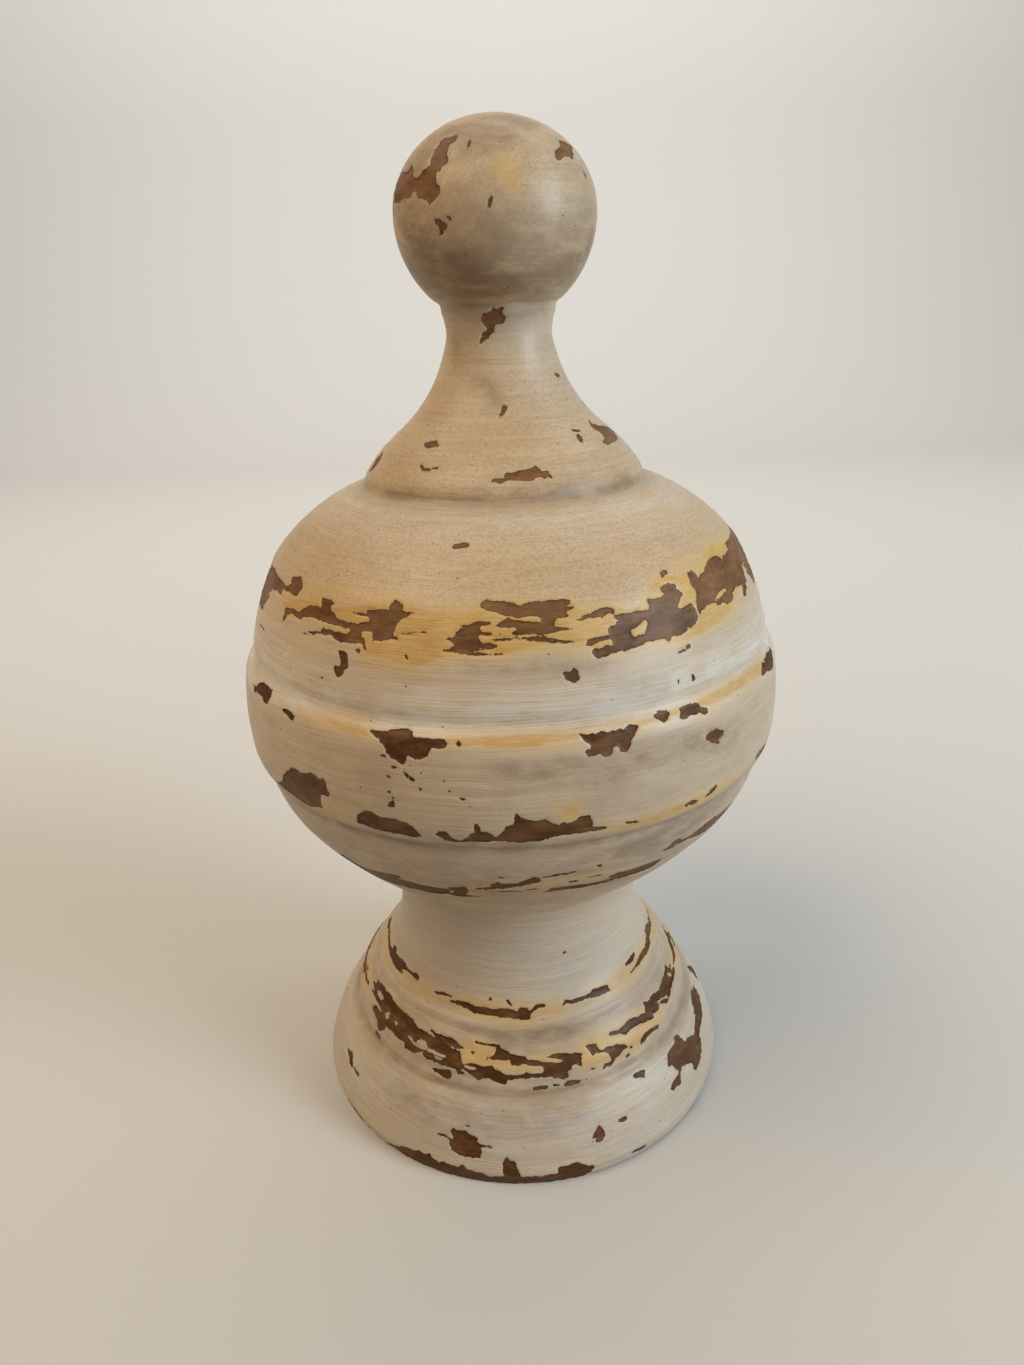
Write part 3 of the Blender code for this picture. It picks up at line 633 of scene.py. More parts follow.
# Bands of height that wear unseen on the back as they do on the front:
# (height, spread in height, number of chips, shortest and longest in mm, narrowest and widest in mm, torn or not)
BACK_WEAR = {
    "shoulder": (0.1865, 0.0040, 17, 12, 34, 1.6, 5.0, True),
    "band's top edge": (0.1600, 0.0016, 6, 6, 18, 2.0, 4.4, False),
    "band's face": (0.1480, 0.0090, 4, 3, 6, 1.2, 3.0, False),
    "step": (0.1352, 0.0010, 8, 8, 26, 1.4, 3.6, False),
    "bowl's edge": (0.1122, 0.0010, 12, 12, 36, 0.7, 1.9, True),
    "foot's arris": (0.0474, 0.0005, 7, 8, 24, 0.9, 2.0, True),
    "bead": (0.0350, 0.0028, 13, 10, 30, 1.2, 4.2, True),
    "foot": (0.0160, 0.0065, 5, 3, 8, 1.4, 4.4, False),
    "rim": (0.0008, 0.0008, 12, 10, 34, 1.2, 3.0, False),
    "collar": (0.2190, 0.0040, 4, 3, 10, 1.0, 2.6, False),
    "neck": (0.2450, 0.0090, 3, 2, 5, 0.8, 2.6, False),
    "ball": (0.2850, 0.0110, 5, 2, 9, 1.0, 3.6, False),
}
FRONT_TO = math.radians(80)
FRONT_FADE = math.radians(14)
SIDES_FROM = math.radians(56)
SIDES_FULL = math.radians(76)
SIDE_STREAKS = 2.0
BACK_FROM = math.radians(85)
BACK_TO = math.radians(275)
BACK_SEED = 41

# Heights where the colour of the paint changes, down the finial: (height, how tan, how dirty and painted shaded,
# how pale and painted sheened), from 0 to 1. The third column darkens the hollows and undersides with painted shade as
# well as dirt; the fourth lays a painted sheen on the quirk above the band and on the foot as well as thick paint.
TONES = (
    (0.3061, 0.85, 0.43, 0.0),
    (0.2950, 0.82, 0.38, 0.0),
    (0.2860, 0.74, 0.33, 0.0),
    (0.2780, 0.70, 0.50, 0.0),
    (0.2700, 0.68, 0.74, 0.0),
    (0.2620, 0.66, 0.76, 0.0),
    (0.2560, 0.64, 0.24, 0.15),
    (0.2300, 0.82, 0.16, 0.0),
    (0.2160, 0.85, 0.15, 0.0),
    (0.2135, 0.80, 0.25, 0.0),
    (0.2115, 0.80, 0.70, 0.0),
    (0.2085, 0.80, 0.30, 0.4),
    (0.2060, 0.85, 0.20, 0.2),
    (0.2000, 0.90, 0.24, 0.0),
    (0.1900, 0.85, 0.05, 0.0),
    (0.1760, 0.50, 0.10, 0.1),
    (0.1680, 0.37, 0.10, 0.5),
    (0.1620, 0.32, 0.05, 0.6),
    (0.1560, 0.46, 0.28, 0.0),
    (0.1345, 0.47, 0.38, 0.05),
    (0.1300, 0.35, 0.75, 0.0),
    (0.1275, 0.39, 0.48, 0.05),
    (0.1130, 0.50, 0.56, 0.0),
    (0.1000, 0.30, 0.45, 0.0),
    (0.0750, 0.20, 0.25, 0.2),
    (0.0560, 0.20, 0.29, 0.2),
    (0.0460, 0.30, 0.30, 0.05),
    (0.0425, 0.30, 0.44, 0.0),
    (0.0390, 0.32, 0.52, 0.05),
    (0.0295, 0.32, 0.44, 0.1),
    (0.0265, 0.30, 0.76, 0.0),
    (0.0238, 0.26, 0.42, 0.25),
    (0.0200, 0.26, 0.38, 0.30),
    (0.0000, 0.30, 0.42, 0.25),
)


def slope_ray(x, y):
    """The direction in which the camera sees a pixel of the photograph."""
    across = (x - PHOTO_WIDTH / 2) / PIXELS_PER_SLOPE
    up = (PHOTO_HEIGHT / 2 - y) / PIXELS_PER_SLOPE
    return camera_turn() @ Vector((across, up, -1.0))


def camera_turn():
    """How the photograph's camera is turned, as a rotation matrix."""
    yaw = Matrix.Rotation(CAMERA_YAW, 3, "Z")
    pitch = Matrix.Rotation(math.pi / 2 - CAMERA_PITCH, 3, "X")
    roll = Matrix.Rotation(CAMERA_ROLL, 3, "Z")
    return yaw @ pitch @ roll


def packed_corners(node):
    """(radius, height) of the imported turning's rings, from the top of the ball down to the middle of the underside."""
    widest = {}
    for vertex in node.data.vertices:
        x, y, z = vertex.co
        height = round(z, 5)
        widest[height] = max(widest.get(height, 0.0), math.hypot(x, y))
    corners = []
    for height in sorted(widest, reverse=True):
        corner = (widest[height], height)
        if not corners or math.dist(corner, corners[-1]) > CLOSEST_CORNERS:
            corners.append(corner)
    return corners + [(0.0, corners[-1][1])]


def unit(vector):
    return vector / np.linalg.norm(vector)


def eased(corners):
    """Points at a close step along a smooth curve through the corners, which stays sharp where they turn sharply."""
    places = np.array(corners)
    chords = np.diff(places, axis=0)
    lengths = np.linalg.norm(chords, axis=1)
    ways = chords / lengths[:, None]
    tangents = [np.array((1.0, 0.0))]
    for corner in range(1, len(places) - 1):
        before, after = ways[corner - 1], ways[corner]
        if before @ after < math.cos(SHARP_TURN):
            tangents.append(None)
        else:
            tangents.append(unit(before * lengths[corner] + after * lengths[corner - 1]))
    tangents.append(None)
    points = []
    for piece, (way, length) in enumerate(zip(ways, lengths)):
        leaving, arriving = tangents[piece], tangents[piece + 1]
        if leaving is None and arriving is None:
            leaving, arriving = way, way
        elif leaving is None:
            leaving = 2 * (way @ arriving) * way - arriving
        elif arriving is None:
            arriving = 2 * (way @ leaving) * way - leaving
        share = np.linspace(0, 1, max(2, math.ceil(length / OUTLINE_STEP)), endpoint=False)[:, None]
        points.append(
            (1 + 2 * share) * (1 - share) ** 2 * places[piece]
            + share * (1 - share) ** 2 * length * leaving
            + share**2 * (3 - 2 * share) * places[piece + 1]
            + share**2 * (share - 1) * length * arriving
        )
    return np.vstack(points + [places[-1:]])


def blurred(values, spread, mirror):
    """Values at even steps, blurred by a bell curve of that many steps. Past its ends, a value mirrors times mirror."""
    reach = int(math.ceil(4 * spread))
    bell = np.exp(-0.5 * (np.arange(-reach, reach + 1) / spread) ** 2)
    padded = np.concatenate([mirror * values[reach:0:-1], values, mirror * values[-2 : -reach - 2 : -1]])
    return np.convolve(padded, bell / bell.sum(), "valid")


class Outline:
    """The turned outline with its corners softened by paint, from the top of the ball to the middle of the underside."""

    def __init__(self, corners, softness):
        points = eased(corners)
        lengths = np.concatenate([[0.0], np.cumsum(np.linalg.norm(np.diff(points, axis=0), axis=1))])
        steps = int(lengths[-1] / OUTLINE_STEP)
        even = np.linspace(0, lengths[-1], steps + 1)
        spread = softness / OUTLINE_STEP
        self.radius = np.clip(blurred(np.interp(even, lengths, points[:, 0]), spread, -1), 0, None)
        self.height = blurred(np.interp(even, lengths, points[:, 1]), spread, 1)
        self.measure()
        sunk = np.zeros(len(self.run))
        for height, depth, width in HOLLOWS.values():
            sunk += depth * np.exp(-(((self.run - self.run_at_height(height)) / (width / 2)) ** 2))
        self.radius = self.radius - sunk * self.out_r
        self.height = self.height - sunk * self.out_z
        self.measure()

    def measure(self):
        """Finds the run, the way out, the bend and the rim of the outline."""
        along = np.hypot(np.diff(self.radius), np.diff(self.height))
        self.run = np.concatenate([[0.0], np.cumsum(along)])
        down_r, down_z = np.gradient(self.radius, self.run), np.gradient(self.height, self.run)
        size = np.hypot(down_r, down_z)
        self.out_r, self.out_z = -down_z / size, down_r / size
        heading = np.unwrap(np.arctan2(self.out_z, self.out_r))
        self.bend = np.abs(np.gradient(heading, self.run))
        self.rim = float(np.interp(-0.5, -self.height / (0.4 * MM), self.run))

    def at(self, run, values):
        return np.interp(run, self.run, values)

    def run_at_height(self, height):
        """The run where the outline passes a height on its way down."""
        side = self.run < self.rim
        return np.interp(-height, -self.height[side], self.run[side])

    def rows(self, closest, widest, sagitta):
        """Runs of the mesh's rows: close where the outline bends, and no farther from it than the sagitta."""
        spacing = np.clip(np.sqrt(8 * sagitta / np.maximum(self.bend, 1e-3)), closest, widest)
        density = blurred(1 / spacing, 1.2 * MM / OUTLINE_STEP, 1)
        count = np.concatenate([[0.0], np.cumsum(density[:-1] * np.diff(self.run))])
        rows = int(round(count[-1]))
        return np.interp(np.arange(1, rows) * count[-1] / rows, count, self.run)

    def seen_at(self, x, y):
        """(azimuth, run) where the camera sees a pixel, or where it passes closest beside the finial."""
        ray = slope_ray(x, y)
        reach = np.linspace(NEAREST_SIGHT, FARTHEST_SIGHT, SIGHT_STEPS)
        passing = [CAMERA_PLACE[axis] + ray[axis] * reach for axis in range(3)]
        side = self.run < self.rim
        turned = np.interp(-passing[2], -self.height[side], self.radius[side], left=-1.0, right=-1.0)
        gap = np.hypot(passing[0], passing[1]) - turned
        hits = np.nonzero(gap < 0)[0]
        hit = hits[0] if len(hits) else int(gap.argmin())
        return math.atan2(passing[0][hit], -passing[1][hit]), float(self.run_at_height(passing[2][hit]))


def noise_over(places, round_size, run_size, seed):
    """Smooth noise from -1 to 1 at each place, which changes over round_size round the turning and run_size down it."""
    scaled = places / np.array((round_size, round_size, run_size)) + 17.3 * seed
    return np.array([noise.noise(place) for place in scaled])


def kinked(places, round_size, run_size, seed):
    """Noise like noise_over's, but folded along creases, which gives a torn edge its corners."""
    return 1 - 3 * np.abs(noise_over(places, round_size, run_size, seed))


def chained(strokes_of, outline):
    """Each stroke of the named chips as points of (azimuth, run, half width)."""
    strokes = []
    for chip in strokes_of.values():
        for stroke in chip:
            strokes.append([(*outline.seen_at(x, y), width * MM / 2) for x, y, width in stroke])
    return strokes


def outlined(patches, outline):
    """The corners of each named patch as rows of (azimuth, run)."""
    found = []
    for (left, top, enlarged), *sides in patches.values():
        corners = [corner for side in sides for corner in side]
        found.append(np.array([outline.seen_at(left + x / enlarged, top + y / enlarged) for x, y in corners]))
    return found


def distance_outside(patches, outline, azimuth, run, radius):
    """How far each place is outside the nearest patch, in metres, or inside it where negative, up to a limit."""
    nearest = np.full(len(azimuth), FARTHEST_CHIP)
    for corners in patches:
        middle = corners[:, 0].mean()
        corner_x = outline.at(corners[:, 1], outline.radius) * (corners[:, 0] - middle)
        corner_y = corners[:, 1]
        off = (azimuth - middle + math.pi) % (2 * math.pi) - math.pi
        near = (run > corner_y.min() - FARTHEST_CHIP) & (run < corner_y.max() + FARTHEST_CHIP)
        near &= np.abs(radius * off) < np.abs(corner_x).max() + FARTHEST_CHIP
        x, y = (radius * off)[near], run[near]
        away = np.full(len(x), FARTHEST_CHIP)
        inside = np.zeros(len(x), dtype=bool)
        for side in range(len(corners)):
            x0, y0 = corner_x[side - 1], corner_y[side - 1]
            x1, y1 = corner_x[side], corner_y[side]
            share = np.clip(((x - x0) * (x1 - x0) + (y - y0) * (y1 - y0)) / (math.hypot(x1 - x0, y1 - y0) ** 2 + 1e-12), 0, 1)
            away = np.minimum(away, np.hypot(x - x0 - share * (x1 - x0), y - y0 - share * (y1 - y0)))
            crossed = (y0 > y) != (y1 > y)
            reached = x0 + (y - y0) * (x1 - x0) / (y1 - y0 if y1 != y0 else 1e-12)
            inside ^= crossed & (x < reached)
        nearest[near] = np.minimum(nearest[near], np.where(inside, -away, away))
    return nearest


def back_strokes(outline, torn):
    """Strokes like the front's on the back of each band of wear, drawn at random from a fixed seed."""
    draw = random.Random(BACK_SEED + torn)
    strokes = []
    for height, spread, number, shortest, longest, narrowest, widest, is_torn in BACK_WEAR.values():
        if is_torn != torn:
            continue
        for chip in range(number):
            share = (chip + draw.uniform(0.1, 0.9)) / number
            azimuth = BACK_FROM + (BACK_TO - BACK_FROM) * share
            at_height = height + draw.uniform(-spread, spread)
            length = draw.uniform(shortest, longest) * MM
            width = draw.uniform(narrowest, widest) * MM
            strokes += straggling(outline, draw, azimuth, at_height, length, width)
    return strokes


def straggling(outline, draw, azimuth, height, length, width):
    """One chip of the back: a stroke that wanders round the turning, with a shorter one on each side of it."""
    run = float(outline.run_at_height(height))
    radius = float(outline.at(run, outline.radius))
    strokes = []
    for part in range(3):
        size = 1.0 if part == 0 else draw.uniform(0.25, 0.6)
        start = 0.0 if part == 0 else draw.uniform(-0.35, 0.35) * length
        aside = 0.0 if part == 0 else (part * 2 - 3) * width * draw.uniform(0.4, 0.8)
        points = []
        for step in range(5):
            share = step / 4 - 0.5
            swell = (1 - abs(2 * share) ** 1.6) * draw.uniform(0.7, 1.15)
            across = start + share * length * size
            down = aside + width * draw.uniform(-0.28, 0.28)
            points.append((azimuth + across / radius, run + down, max(0.15 * MM, width * size * swell / 2)))
        strokes.append(points)
    return strokes


def distance_to(strokes, azimuth, run, radius, rough):
    """How far each place is outside the nearest stroke, in metres, or inside it where negative, up to a limit.

    A stroke's edge strays by rough times an allowance that grows with its width, so no stroke is lost.
    """
    nearest = np.full(len(azimuth), FARTHEST_CHIP)
    for stroke in strokes:
        for (a0, s0, w0), (a1, s1, w1) in zip(stroke, stroke[1:]):
            margin = FARTHEST_CHIP + max(w0, w1)
            near = np.nonzero((run > min(s0, s1) - margin) & (run < max(s0, s1) + margin))[0]
            if not len(near):
                continue
            far = radius[near]
            off = (azimuth[near] - a0 + math.pi) % (2 * math.pi) - math.pi
            aside, down = far * off, run[near] - s0
            long_a = far * ((a1 - a0 + math.pi) % (2 * math.pi) - math.pi)
            long_s = s1 - s0
            share = np.clip((aside * long_a + down * long_s) / (long_a**2 + long_s**2 + 1e-12), 0, 1)
            half = w0 + share * (w1 - w0)
            allowance = 0.55 * half * WIDTH_OF_FULL_STRAY / (half + WIDTH_OF_FULL_STRAY)
            gap = np.hypot(aside - share * long_a, down - share * long_s) - half - allowance * rough[near]
            nearest[near] = np.minimum(nearest[near], gap)
    return nearest


class Wear:
    """Where the paint has gone: how far each place is from a chip's edge, and from the edge of the rubbed ochre."""

    def __init__(self, outline, sizes):
        self.outline = outline
        self.ragged = sizes.raggedness
        self.flakes = chained(FLAKES, outline) + back_strokes(outline, False)
        self.torn = chained(TORN_CHIPS, outline) + back_strokes(outline, True)
        self.rubs = chained(OCHRE_RUBS, outline)
        self.thin = chained(THIN_PAINT, outline)
        self.smudges_and_shade = chained(SMUDGES_AND_SHADE, outline)
        self.patches = outlined(PATCHES, outline)
        self.islands = outlined(ISLANDS, outline)
        self.ochre_areas = outlined(OCHRE_AREAS, outline)
        self.bare_from = float(outline.rim) + 2.5 * MM

    def unrolled(self, azimuth, run):
        radius = self.outline.at(run, self.outline.radius)
        return np.stack([radius * np.sin(azimuth), -radius * np.cos(azimuth), run], axis=1), radius

    def chips(self, azimuth, run):
        """Metres outside the nearest chip's edge, and inside where negative."""
        places, radius = self.unrolled(azimuth, run)
        far = np.maximum(radius, 2 * MM)
        rag = self.ragged
        bend = 0.5 * rag * noise_over(places, 3 * MM, 3 * MM, 1)
        rough = 0.7 * noise_over(places, 3.4 * MM, 3.4 * MM, 2) + 0.8 * kinked(places, 2.4 * MM, 2.4 * MM, 4)
        flaked = distance_to(self.flakes, azimuth + bend / far, run - bend, radius, rough)
        streak = 2.4 * noise_over(places, 9 * MM, 1.0 * MM, 5) + 1.6 * kinked(places, 3 * MM, 1.0 * MM, 6)
        torn = distance_to(self.torn, azimuth + rag * streak / far, run - 0.6 * bend, radius, 0.9 * rough)
        ragged = 0.22 * MM * rough
        aside = soft_step(np.abs(azimuth), SIDES_FROM, SIDES_FULL) * SIDE_STREAKS * rag * streak / far
        patched = distance_outside(self.patches, self.outline, azimuth + aside, run, radius) - ragged
        standing = distance_outside(self.islands, self.outline, azimuth, run, radius) - 0.10 * MM
        underside = self.bare_from - run + 3 * bend
        return np.minimum(np.minimum(flaked, np.maximum(patched, -standing)), np.minimum(torn, underside))

    def ochre(self, azimuth, run, chips):
        """Metres outside the rubbed ochre, and inside where negative."""
        places, radius = self.unrolled(azimuth, run)
        drift = noise_over(places, 22 * MM, 9 * MM, 11)
        nearest = distance_to(self.rubs, azimuth, run + 0.4 * MM * drift, radius, drift)
        areas = distance_outside(self.ochre_areas, self.outline, azimuth, run, radius) - 0.4 * MM * drift
        nearest = np.minimum(nearest, areas)
        front = 1 - soft_step(np.abs(azimuth), FRONT_TO - FRONT_FADE, FRONT_TO)
        broken = 0.5 + 0.5 * noise_over(places, 16 * MM, 7 * MM, 12)
        for height, width, gaps in OCHRE_RINGS.values():
            middle = float(self.outline.run_at_height(height))
            edge = np.abs(run + 0.9 * MM * drift - middle) - width / 2
            ring = edge + gaps * width * 2.2 * np.clip(broken - 0.35, 0, 1) + front * width
            beside = np.maximum(chips - 0.9 * MM * (0.1 + broken), np.abs(run - middle) - width / 2 - 1.5 * MM)
            beside = beside + front * FARTHEST_CHIP
            nearest = np.minimum(nearest, np.minimum(ring, beside))
        return np.clip(nearest, -FARTHEST_CHIP, FARTHEST_CHIP)

    def thinned(self, azimuth, run, ochre):
        """How thin the cream is over the ochre, from 0 to 1."""
        places, radius = self.unrolled(azimuth, run)
        drift = noise_over(places, 14 * MM, 6 * MM, 13)
        nearest = distance_to(self.thin, azimuth, run + 1.0 * MM * drift, radius, drift)
        beside = ochre - 1.5 * MM * (1 + drift)
        return soft_step(-np.minimum(nearest, beside), -2.5 * MM, 1.2 * MM)

    def smudged_and_shaded(self, azimuth, run):
        """How much the paint is darkened by smudges and by painted shade, from 0 to 1."""
        places, radius = self.unrolled(azimuth, run)
        drift = noise_over(places, 9 * MM, 5 * MM, 14)
        nearest = distance_to(self.smudges_and_shade, azimuth, run + 0.8 * MM * drift, radius, drift)
        return soft_step(-nearest, -0.95 * FARTHEST_CHIP, 2.0 * MM)


def revolved(outline, columns, rows):
    """The turning as a mesh of quads between its rows, closed by fans at both ends. Each vertex keeps its run."""
    turning = bmesh.new()
    run_of = turning.verts.layers.float.new("run")

    def vertex(azimuth, run):
        radius = float(outline.at(run, outline.radius))
        height = float(outline.at(run, outline.height))
        made = turning.verts.new((radius * math.sin(azimuth), -radius * math.cos(azimuth), height))
        made[run_of] = run
        return made

    rings = [[vertex(2 * math.pi * (column + 0.5) / columns, run) for column in range(columns)] for run in rows]
    top, bottom = vertex(0.0, 0.0), vertex(0.0, outline.run[-1])
    top.co.x = top.co.y = bottom.co.x = bottom.co.y = 0.0
    for column in range(columns):
        following = (column + 1) % columns
        turning.faces.new((top, rings[0][column], rings[0][following]))
        for upper, lower in zip(rings, rings[1:]):
            turning.faces.new((upper[column], lower[column], lower[following], upper[following]))
        turning.faces.new((rings[-1][column], bottom, rings[-1][following]))
    return turning


def places_of(turning):
    """(azimuth, run) of each vertex as arrays."""
    run_of = turning.verts.layers.float["run"]
    found = np.array([(vertex.co.x, vertex.co.y, vertex[run_of]) for vertex in turning.verts])
    return np.arctan2(found[:, 0], -found[:, 1]), found[:, 2]


def cut_finer(turning, wear, reach, longest):
    """Halves the long edges of the faces that lie within reach of a chip's edge."""
    turning.verts.index_update()
    azimuth, run = places_of(turning)
    near = (np.abs(wear.chips(azimuth, run)) < reach) & (run < wear.bare_from - 1.5 * MM)
    edges = set()
    for face in turning.faces:
        if any(near[vertex.index] for vertex in face.verts):
            edges.update(edge for edge in face.edges if edge.calc_length() > longest)
    bmesh.ops.subdivide_edges(turning, edges=list(edges), cuts=1, use_grid_fill=True, use_single_edge=True)


def soft_step(values, low, high):
    """From 0 at low to 1 at high, eased at both ends."""
    share = np.clip((values - low) / (high - low), 0, 1)
    return share * share * (3 - 2 * share)


def place_vertices(mesh, outline, wear, sizes):
    """Puts every vertex on the outline, less what the wear has taken there, and keeps the wear as attributes."""
    count = len(mesh.vertices)
    places = np.empty(count * 3)
    mesh.vertices.foreach_get("co", places)
    places = places.reshape(-1, 3)
    run = np.empty(count)
    mesh.attributes["run"].data.foreach_get("value", run)
    azimuth = np.arctan2(places[:, 0], -places[:, 1])
    chips = np.clip(wear.chips(azimuth, run), -FARTHEST_CHIP, FARTHEST_CHIP)
    ochre = wear.ochre(azimuth, run, chips)
    unrolled, radius = wear.unrolled(azimuth, run)
    hand = noise_over(unrolled, 18 * MM, 9 * MM, 21) + 0.4 * noise_over(unrolled, 7 * MM, 3 * MM, 22)
    side = soft_step(outline.at(run, outline.height), 0.5 * MM, 4 * MM)
    rise = (
        side * sizes.unevenness * hand
        - sizes.chip_depth * soft_step(-chips, -0.20 * MM, 0.30 * MM)
        - sizes.ochre_depth * soft_step(-ochre, -0.6 * MM, 0.6 * MM)
    )
    flat = run > outline.rim
    rise[flat] = 0.0
    radius = radius + rise * outline.at(run, outline.out_r)
    height = outline.at(run, outline.height) + rise * outline.at(run, outline.out_z)
    on_axis = np.hypot(places[:, 0], places[:, 1]) < 1e-6
    radius[on_axis] = 0.0
    moved = np.stack([radius * np.sin(azimuth), -radius * np.cos(azimuth), np.maximum(height, 0.0)], axis=1)
    mesh.vertices.foreach_set("co", moved.ravel())
    heights = outline.at(run, outline.height)
    tone_heights = [-tone[0] for tone in TONES]
    round_it = outline.at(run, outline.radius) * azimuth
    keep_values(mesh, "slant", within(azimuth, *SLANT_AZIMUTHS) * within(run, *SLANT_RUNS))
    keep_values(mesh, "along", round_it * math.cos(SLANT) - run * math.sin(SLANT))
    keep_values(mesh, "across", round_it * math.sin(SLANT) + run * math.cos(SLANT))
    keep_values(mesh, "chip", chips / MM)
    keep_values(mesh, "ochre", ochre / MM)
    keep_values(mesh, "thin", wear.thinned(azimuth, run, ochre))
    keep_values(mesh, "smudge_and_shade", wear.smudged_and_shaded(azimuth, run))
    keep_values(mesh, "tan", np.interp(-heights, tone_heights, [tone[1] for tone in TONES]))
    keep_values(mesh, "dirt_and_shade", np.interp(-heights, tone_heights, [tone[2] for tone in TONES]))
    keep_values(mesh, "pale_and_sheen", np.interp(-heights, tone_heights, [tone[3] for tone in TONES]))
    mesh.update()


def within(values, rising, full, falling, gone):
    """1 from full to falling, eased to 0 at rising below and at gone above."""
    return soft_step(values, rising, full) * (1 - soft_step(values, falling, gone))


def keep_values(mesh, name, values):
    """Keeps one number for each vertex under a name that the paint reads."""
    layer = mesh.attributes.new(name, "FLOAT", "POINT")
    layer.data.foreach_set("value", np.ascontiguousarray(values, dtype=np.float32))


def unwrap(mesh, longest_run):
    """A map of the surface unrolled: round the turning across it, and down the run up it."""
    layer = mesh.uv_layers.new(name="OFBake")
    corner_vertex = np.empty(len(mesh.loops), dtype=np.int32)
    mesh.loops.foreach_get("vertex_index", corner_vertex)
    starts = np.empty(len(mesh.polygons), dtype=np.int32)
    totals = np.empty(len(mesh.polygons), dtype=np.int32)
    mesh.polygons.foreach_get("loop_start", starts)
    mesh.polygons.foreach_get("loop_total", totals)
    places = np.empty(len(mesh.vertices) * 3)
    mesh.vertices.foreach_get("co", places)
    places = places.reshape(-1, 3)
    run = np.empty(len(mesh.vertices))
    mesh.attributes["run"].data.foreach_get("value", run)
    face_of = np.repeat(np.arange(len(starts)), totals)
    turn = (np.arctan2(places[:, 0], -places[:, 1]) / (2 * math.pi))[corner_vertex] + 0.5
    on_axis = (np.hypot(places[:, 0], places[:, 1]) < 1e-6)[corner_vertex]
    first = turn[starts]
    first = np.where(on_axis[starts], turn[starts + 1], first)[face_of]
    turn = np.where(turn - first > 0.5, turn - 1, turn)
    turn = np.where(first - turn > 0.5, turn + 1, turn)
    turn = np.where(on_axis, first, turn)
    lowest = np.minimum.reduceat(turn, starts)[face_of]
    turn = np.where(lowest < -1e-6, turn + 1, turn)
    margin = 0.01
    across = margin + (1 - 2 * margin) * turn / (1 + 2 / 100)
    up = 1 - margin - (1 - 2 * margin) * run[corner_vertex] / longest_run
    layer.data.foreach_set("uv", np.stack([across, up], axis=1).ravel())


class Wire:
    """One output of a shader node. Sums on wires add the Math nodes that work them out."""

    def __init__(self, painter, socket):
        self.painter = painter
        self.socket = socket

    def __add__(self, other):
        return self.painter.maths("ADD", self, other)

    def __radd__(self, other):
        return self.painter.maths("ADD", other, self)

    def __sub__(self, other):
        return self.painter.maths("SUBTRACT", self, other)

    def __rsub__(self, other):
        return self.painter.maths("SUBTRACT", other, self)

    def __mul__(self, other):
        return self.painter.maths("MULTIPLY", self, other)

    def __rmul__(self, other):
        return self.painter.maths("MULTIPLY", other, self)


class Painter:
    """Builds one material's shader nodes."""

    def __init__(self, name):
        self.material = bpy.data.materials.new(name)
        self.material.use_nodes = True
        self.tree = self.material.node_tree
        self.surface = self.tree.nodes["Principled BSDF"]

    def node(self, kind, settings, sockets, output=0):
        """Adds a node, makes its settings, then sets or links its sockets. Returns one of its outputs."""
        made = self.tree.nodes.new(kind)
        for setting, value in settings.items():
            setattr(made, setting, value)
        for socket, value in sockets.items():
            if isinstance(value, Wire):
                self.tree.links.new(value.socket, made.inputs[socket])
            else:
                made.inputs[socket].default_value = value
        return Wire(self, made.outputs[output])

    def maths(self, operation, first, second):
        return self.node("ShaderNodeMath", {"operation": operation}, {0: first, 1: second})

    def attribute(self, name):
        return self.node("ShaderNodeAttribute", {"attribute_name": name}, {}, "Fac")

    def mixed(self, share, colour, other):
        """From colour to other as share goes from 0 to 1."""
        sockets = {0: share, 6: colour, 7: other}
        return self.node("ShaderNodeMix", {"data_type": "RGBA", "clamp_factor": True}, sockets, 2)

    def step(self, value, low, high, start=0.0, end=1.0):
        """From start at low to end at high, eased at both ends."""
        sockets = {"Value": value, "From Min": low, "From Max": high, "To Min": start, "To Max": end}
        return self.node("ShaderNodeMapRange", {"interpolation_type": "SMOOTHSTEP"}, sockets)

    def noise(self, where, detail=3.0, roughness=0.55):
        """Noise from 0 to 1 over a vector whose unit is the size of the noise."""
        sockets = {"Vector": where, "Scale": 1.0, "Detail": detail, "Roughness": roughness}
        return self.node("ShaderNodeTexNoise", {"noise_dimensions": "3D"}, sockets)

    def pinholes(self, place, spacing, size):
        """Small dots a few spacings apart, and size times the spacing wide, from 0 beside them to 1 on them."""
        sockets = {"Vector": self.stretched(place, spacing, spacing), "Scale": 1.0, "Randomness": 1.0}
        away = self.node("ShaderNodeTexVoronoi", {"feature": "F1"}, sockets, "Distance")
        return self.step(away, size, 0.6 * size)

    def surface_place(self):
        """(x, y, run) of the surface, so that a pattern can stretch round the turning."""
        spot = self.node("ShaderNodeTexCoord", {}, {}, "Object")
        split = self.tree.nodes.new("ShaderNodeSeparateXYZ")
        self.tree.links.new(spot.socket, split.inputs[0])
        sockets = {0: Wire(self, split.outputs[0]), 1: Wire(self, split.outputs[1]), 2: self.attribute("run")}
        return self.node("ShaderNodeCombineXYZ", {}, sockets)

    def wavered(self, place, wave, height):
        """The place with its run shifted by up to half the height either way, as a wave from 0 to 1 goes."""
        aside = self.node("ShaderNodeCombineXYZ", {}, {2: (wave - 0.5) * height})
        return self.node("ShaderNodeVectorMath", {"operation": "ADD"}, {0: place, 1: aside})

    def stretched(self, place, round_size, run_size, shift=0.0):
        """The place measured in sizes of pattern: one round the turning and one down the run."""
        scale = (1 / round_size, 1 / round_size, 1 / run_size)
        settings = {"operation": "MULTIPLY_ADD"}
        return self.node("ShaderNodeVectorMath", settings, {0: place, 1: scale, 2: (shift, shift, shift)})


def colour(values):
    return (*values, 1.0)


